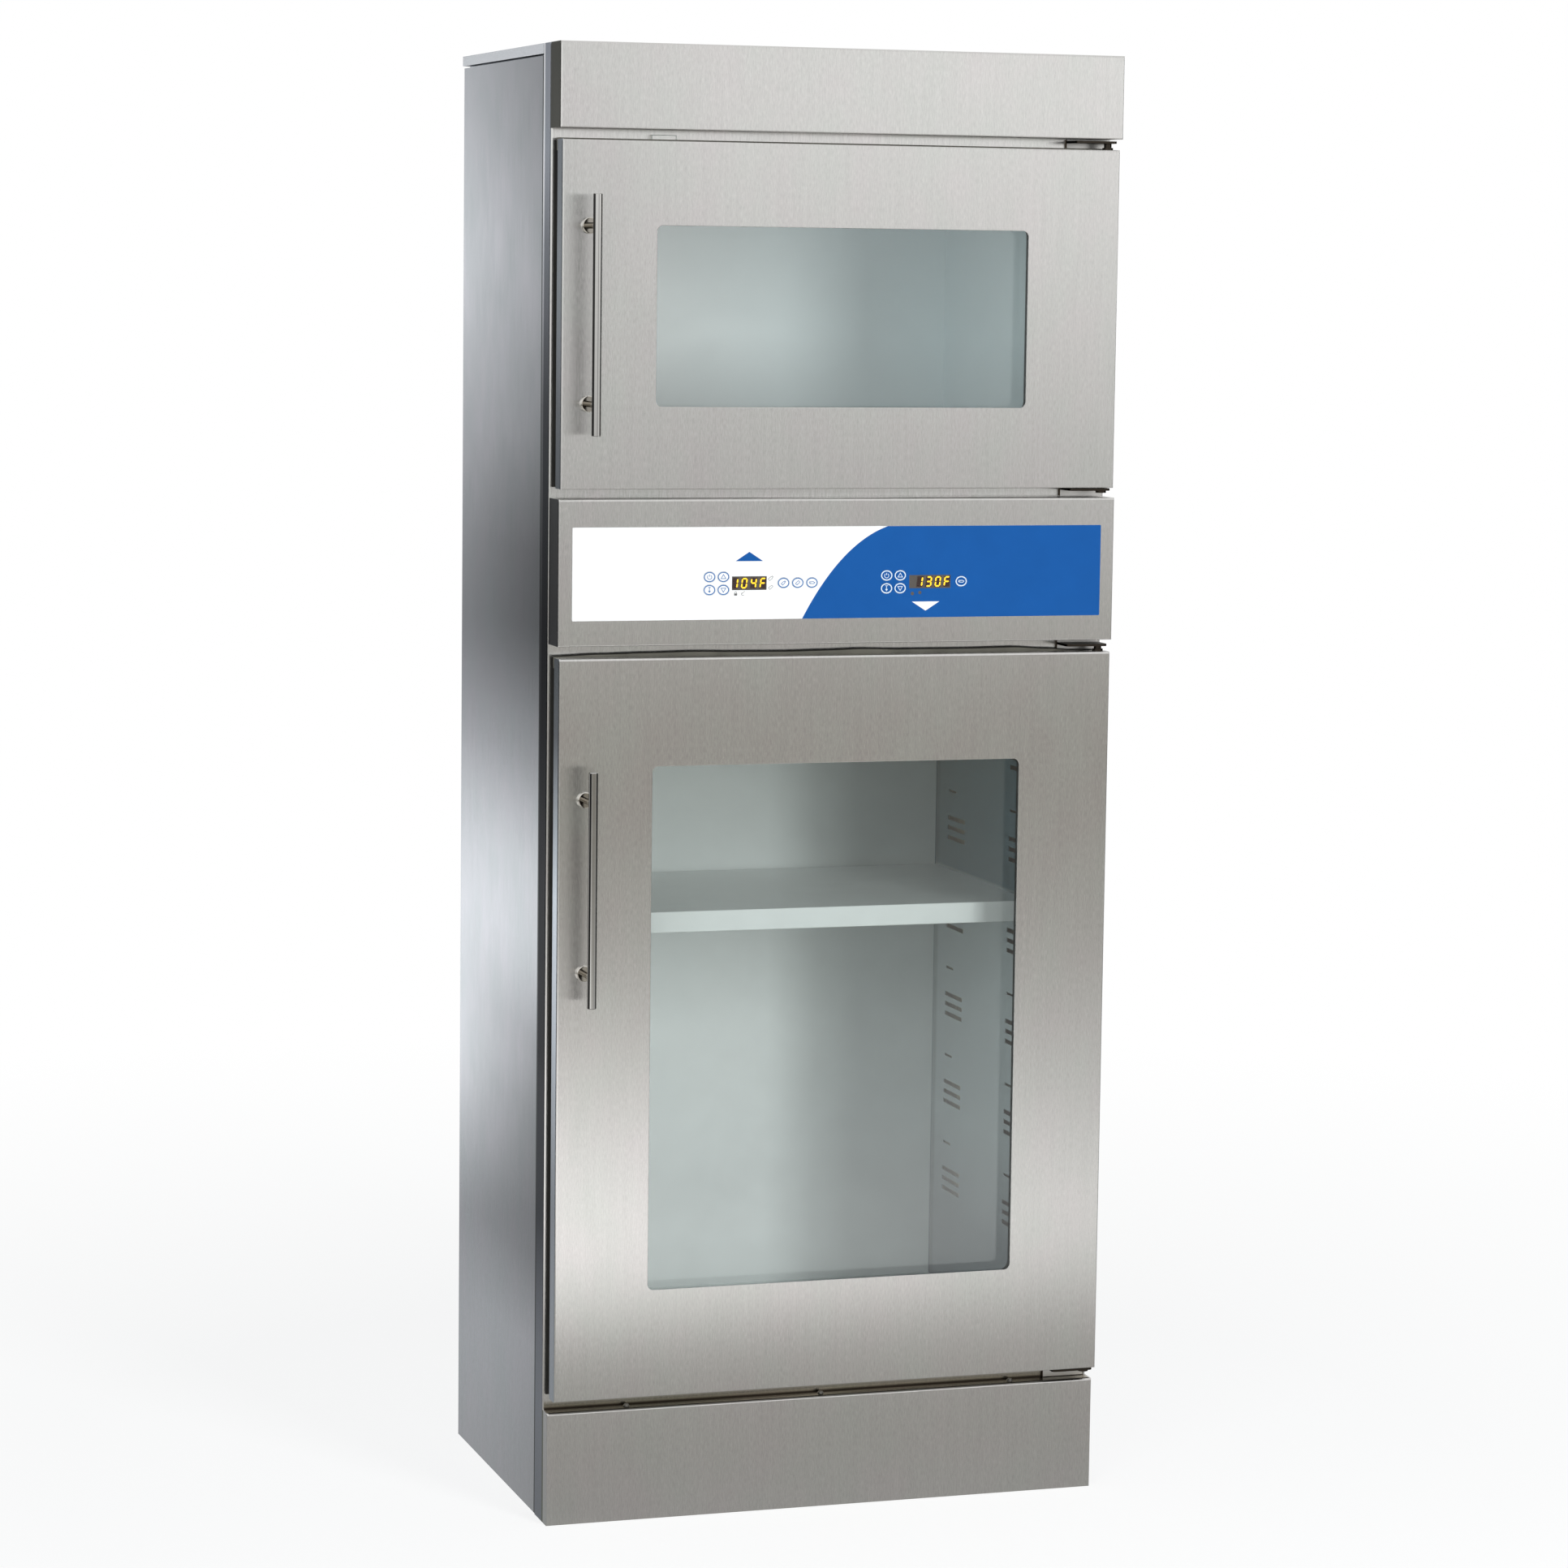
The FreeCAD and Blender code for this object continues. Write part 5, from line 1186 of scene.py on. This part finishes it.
class CABINET_OT_stage(bpy.types.Operator):
    """Set up the pale studio: floor, surrounding wall, soft lamps and the camera"""
    bl_idname = "cabinet.stage"
    bl_label = "Studio and camera"

    # How bright the studio looks in the steel, as (position, level, warmth): the floor along Y, and the wall
    # by height ahead and behind, and along X.
    FLOOR_LEVELS = ((-14.2, 0.86, 0.3), (-12.9, 0.37, 1.5), (-9.6, 0.35, 1.5), (-8.3, 0.39, 1.3),
                    (-7.1, 0.41, 1.0), (-5.3, 0.53, 0.7), (-4.5, 0.72, 0.5), (-3.9, 0.97, 0.3),
                    (-3.35, 1.10, 0.2), (-2.9, 1.26, 0.1), (-2.4, 1.41, 0.1), (-2.0, 1.48, 0.1),
                    (-1.75, 1.38, 0.1), (-1.5, 1.06, 0.2), (-1.3, 0.64, 0.3), (-1.1, 0.50, 0.5),
                    (-0.9, 0.46, 0.5), (-0.6, 0.44, 0.5), (0.0, 0.44, 0.2), (0.8, 0.53, 0.0),
                    (1.7, 0.43, 0.0), (3.2, 1.28, 0.0), (5.6, 1.33, 0.0), (9.7, 0.49, 0.0),
                    (14.0, 0.24, 0.0), (18.0, 0.22, 0.0))
    FRONT_WALL_LEVELS = ((0.0, 0.68, 0.1), (0.45, 0.58, 0.1), (0.7, 0.73, 0.1), (1.2, 0.84, 0.1),
                         (1.7, 0.96, 0.0), (2.4, 1.15, 0.0), (6.0, 1.0, 0.0))
    REAR_WALL_LEVELS = ((0.0, 0.30, 0.0), (0.3, 0.39, 0.0), (0.97, 0.74, 0.0), (1.7, 1.18, 0.0),
                        (2.4, 0.80, 0.0), (3.4, 0.6, 0.0), (6.0, 0.6, 0.0))
    WALL_ACROSS = ((-16.0, 1.2, 0.0), (-2.0, 1.2, 0.0), (0.5, 0.66, 0.0), (3.5, 0.72, 0.0), (7.5, 1.28, 0.0),
                   (12.6, 1.40, 0.0), (13.4, 1.40, 0.0), (14.6, 0.05, 0.0), (16.0, 0.05, 0.0))
    WARM = (0.0, 0.03, 0.11)        # what one of warmth takes from red, green and blue
    BRIGHTEST = 2.0
    SIDE_DARK = 0.05
    FLOOR_REACH = 30.0
    WALL_RADIUS = 16.0
    WALL_HEIGHT = 6.0
    PAPER_GLOW = 1.16
    POOL_Y = (-6.0, -3.0, -1.5, -1.1)       # ahead of the doors the floor mirrors brighter on the left
    POOL_X = (-0.5, 2.0, 1.12, 0.5)
    WALL_TURN = (-3.0, 3.0)                 # where the wall goes from its front to its rear levels
    FRONT_END = (-5.5, -3.0)                # where its bright front part ends
    REAR_START = (11.0, 13.5)               # where its bright rear part starts
    PAPER_EDGE = (1.0, 3.5)                 # how far from the middle the floor turns plain white
    SIDE_EDGE = (0.8, 2.0)                  # how far to the side it mirrors dark, and more with the distance
    SIDE_SLOPE = 1.3
    LAMPS = (("key_lamp", (1.35, -4.6, 1.75), (0.0, -0.1, 1.05), (1.1, 2.2), (1.0, 1.0, 0.99)),
             ("fill_lamp", (-2.8, -4.2, 2.6), (0.0, -0.2, 0.9), (2.4, 2.4), (0.98, 0.99, 1.0)))
    CAMERA_PLACE = (-1.865, -5.8685, 1.641)
    CAMERA_TURNS = (17.77, 6.49, 0.73)      # yaw, pitch and roll in degrees
    CAMERA_LENS = 104.26

    def levels(self, tree, value, stops):
        """A ramp through (position, level, warmth) stops, as shares of the brightest level."""
        first, last = stops[0][0], stops[-1][0]
        ramp = add(tree, "ShaderNodeValToRGB", {"Fac": spread_out(tree, value, first, last)})
        marks = ramp.color_ramp.elements
        while len(marks) < len(stops):
            marks.new(0.5)
        for mark, (position, _, _) in zip(marks, stops):
            mark.position = (position - first) / (last - first)
        for mark, (_, level, warmth) in zip(marks, stops):
            mark.color = (*(level / self.BRIGHTEST * (1 - cut * warmth) for cut in self.WARM), 1.0)
        return ramp.outputs["Color"]

    def glow(self, tree, colour, factor):
        """Light of that colour, times a factor."""
        return add(tree, "ShaderNodeEmission", {
            "Color": colour, "Strength": calc(tree, "MULTIPLY", factor, self.BRIGHTEST)}).outputs[0]

    def floor(self, studio):
        """White to the camera, with the lamps' soft shadow; the steel sees its levels instead."""
        mesh = bpy.data.meshes.new("floor")
        r = self.FLOOR_REACH
        mesh.from_pydata([(-r, -r, 0), (r, -r, 0), (r, r, 0), (-r, r, 0)], [], [(0, 1, 2, 3)])
        finish, tree, shader = new_finish("studio_floor")
        fill(tree, shader, {"Base Color": (*grey(0.92), 1.0), "Roughness": 1.0, "Specular IOR Level": 0.0})
        lit = shader.outputs[0]
        path = add(tree, "ShaderNodeLightPath").outputs
        x, y, _ = axes(tree)
        coords = add(tree, "ShaderNodeTexCoord").outputs["Object"]
        away = add(tree, "ShaderNodeVectorMath", {0: coords}, operation="LENGTH").outputs["Value"]
        strength = spread_out(tree, away, *self.PAPER_EDGE, self.PAPER_GLOW, 1.0)
        paper = add(tree, "ShaderNodeEmission", {"Color": (*WHITE, 1.0), "Strength": strength}).outputs[0]
        plain = spread_out(tree, away, *self.PAPER_EDGE, 1 - studio.shadow_share, 1.0)
        near = calc(tree, "MULTIPLY", spread_out(tree, y, *self.POOL_Y[:2]),
                    spread_out(tree, y, *self.POOL_Y[2:], 1.0, 0.0))
        slope = calc(tree, "SUBTRACT", spread_out(tree, x, *self.POOL_X), 1.0)
        pool = calc(tree, "MULTIPLY_ADD", slope, near, 1.0)
        reach = calc(tree, "MULTIPLY", calc(tree, "ABSOLUTE", y), self.SIDE_SLOPE)
        sideways = calc(tree, "SUBTRACT", calc(tree, "ABSOLUTE", x), reach)
        beside = spread_out(tree, sideways, *self.SIDE_EDGE, 1.0, self.SIDE_DARK)
        factor = calc(tree, "MULTIPLY", pool, beside)
        mirrored = self.glow(tree, self.levels(tree, y, self.FLOOR_LEVELS), factor)
        seen = calc(tree, "MAXIMUM", path["Is Camera Ray"], path["Is Transmission Ray"])
        to_camera = either_light(tree, seen, lit, either_light(tree, plain, lit, paper))
        surface = either_light(tree, path["Is Glossy Ray"], to_camera, mirrored)
        fill(tree, tree.nodes["Material Output"], {"Surface": surface})
        mesh.materials.append(finish)
        floor = in_scene("floor", mesh)

    def wall(self):
        """The studio's far wall, which only reflections see: bright ahead and behind, dark at both sides."""
        shape = bmesh.new()
        bmesh.ops.create_cone(shape, cap_ends=False, segments=96, radius1=self.WALL_RADIUS,
                              radius2=self.WALL_RADIUS, depth=self.WALL_HEIGHT,
                              matrix=Matrix.Translation((0, 0, self.WALL_HEIGHT / 2)))
        mesh = mesh_of("studio_wall", shape)
        finish, tree, _ = new_finish("studio_wall")
        x, y, z = axes(tree)
        front, rear = (self.levels(tree, z, stops)
                       for stops in (self.FRONT_WALL_LEVELS, self.REAR_WALL_LEVELS))
        colour = mixed(tree, spread_out(tree, y, *self.WALL_TURN), front, rear)
        across = self.levels(tree, x, self.WALL_ACROSS)
        sides = calc(tree, "MULTIPLY", spread_out(tree, y, *self.FRONT_END, 1.0, self.SIDE_DARK), across)
        ahead = calc(tree, "MULTIPLY", sides, self.BRIGHTEST)
        behind = spread_out(tree, y, *self.REAR_START, self.SIDE_DARK, 1.0)
        shine = self.glow(tree, colour, calc(tree, "MAXIMUM", ahead, behind))
        fill(tree, tree.nodes["Material Output"], {"Surface": shine})
        mesh.materials.append(finish)
        wall = in_scene("studio_wall", mesh)
        hide(wall, "camera", "diffuse", "transmission", "shadow")

    def world(self, scene, studio):
        """Soft light all round, and plain white to the camera, to mirrors and through glass."""
        world = bpy.data.worlds.new("studio")
        world.use_nodes = True
        scene.world = world
        tree = world.node_tree
        ambient = tree.nodes["Background"]
        fill(tree, ambient, {"Color": (0.93, 0.98, 1.0, 1.0), "Strength": studio.ambient})
        white = add(tree, "ShaderNodeBackground", {"Color": (*WHITE, 1.0), "Strength": 1.0})
        path = add(tree, "ShaderNodeLightPath").outputs
        seen = calc(tree, "MAXIMUM", path["Is Camera Ray"], path["Is Glossy Ray"])
        seen = calc(tree, "MAXIMUM", seen, path["Is Transmission Ray"])
        surface = either_light(tree, seen, ambient.outputs[0], white.outputs[0])
        fill(tree, tree.nodes["World Output"], {"Surface": surface})

    def lamp(self, name, spot, target, size, colour, power):
        data = bpy.data.lights.new(name, "AREA")
        data.shape = "RECTANGLE"
        data.size, data.size_y = size
        data.energy = power
        data.color = colour
        lamp = in_scene(name, data)
        lamp.location = spot
        lamp.rotation_euler = (Vector(target) - Vector(spot)).to_track_quat("-Z", "Y").to_euler()
        hide(lamp, "glossy", "transmission", "camera")

    def camera(self, scene):
        """Perspective camera to the left of the cabinet and a little over the control panel."""
        yaw, pitch, roll = (math.radians(turn) for turn in self.CAMERA_TURNS)
        data = bpy.data.cameras.new("camera")
        data.sensor_width = 36.0
        data.lens = self.CAMERA_LENS
        data.clip_end = 200.0
        camera = in_scene("camera", data)
        forward = Vector((math.sin(yaw) * math.cos(pitch), math.cos(yaw) * math.cos(pitch), -math.sin(pitch)))
        level = Vector((math.cos(yaw), -math.sin(yaw), 0.0))
        above = level.cross(forward)
        right = math.cos(roll) * level + math.sin(roll) * above
        up = -math.sin(roll) * level + math.cos(roll) * above
        turn = Matrix((right, up, -forward)).transposed()
        camera.matrix_world = Matrix.Translation(self.CAMERA_PLACE) @ turn.to_4x4()
        scene.camera = camera

    def execute(self, context):
        scene = context.scene
        studio = scene.cabinet_studio
        self.floor(studio)
        self.wall()
        self.world(scene, studio)
        for lamp, power in zip(self.LAMPS, (studio.key_power, studio.fill_power)):
            self.lamp(*lamp, power)
        self.camera(scene)
        scene.view_settings.view_transform = "Standard"
        return {"FINISHED"}


OPERATORS = (
    CABINET_OT_stage, CABINET_OT_case, CABINET_OT_chambers, CABINET_OT_fittings, CABINET_OT_mechanism,
    CABINET_OT_gaskets, CABINET_OT_screws, CABINET_OT_overlay, CABINET_OT_keys, CABINET_OT_displays)
GROUPS = {"cabinet_steel": CabinetSteel, "cabinet_print": CabinetPrint, "cabinet_seals": CabinetSeals,
          "cabinet_screws": CabinetScrews, "cabinet_studio": CabinetStudio}


class CABINET_PT_panel(bpy.types.Panel):
    """Lists the cabinet's sizes, colours and building steps"""
    bl_idname = "CABINET_PT_panel"
    bl_label = "Warming cabinet"
    bl_space_type = "VIEW_3D"
    bl_region_type = "UI"
    bl_category = "Cabinet"

    def draw(self, context):
        for operator in OPERATORS:
            self.layout.operator(operator.bl_idname)
        for name, group in GROUPS.items():
            box = self.layout.box()
            for field in group.__annotations__:
                box.prop(getattr(context.scene, name), field)


def register():
    for group in GROUPS.values():
        bpy.utils.register_class(group)
    for name, group in GROUPS.items():
        setattr(bpy.types.Scene, name, PointerProperty(type=group))
    for operator in OPERATORS:
        bpy.utils.register_class(operator)
    bpy.utils.register_class(CABINET_PT_panel)


def unregister():
    bpy.utils.unregister_class(CABINET_PT_panel)
    for operator in reversed(OPERATORS):
        bpy.utils.unregister_class(operator)
    for name, group in GROUPS.items():
        delattr(bpy.types.Scene, name)
        bpy.utils.unregister_class(group)


def main():
    register()
    for operator in OPERATORS:
        family, name = operator.bl_idname.split(".")
        getattr(getattr(bpy.ops, family), name)()


if __name__ == "__main__":
    main()
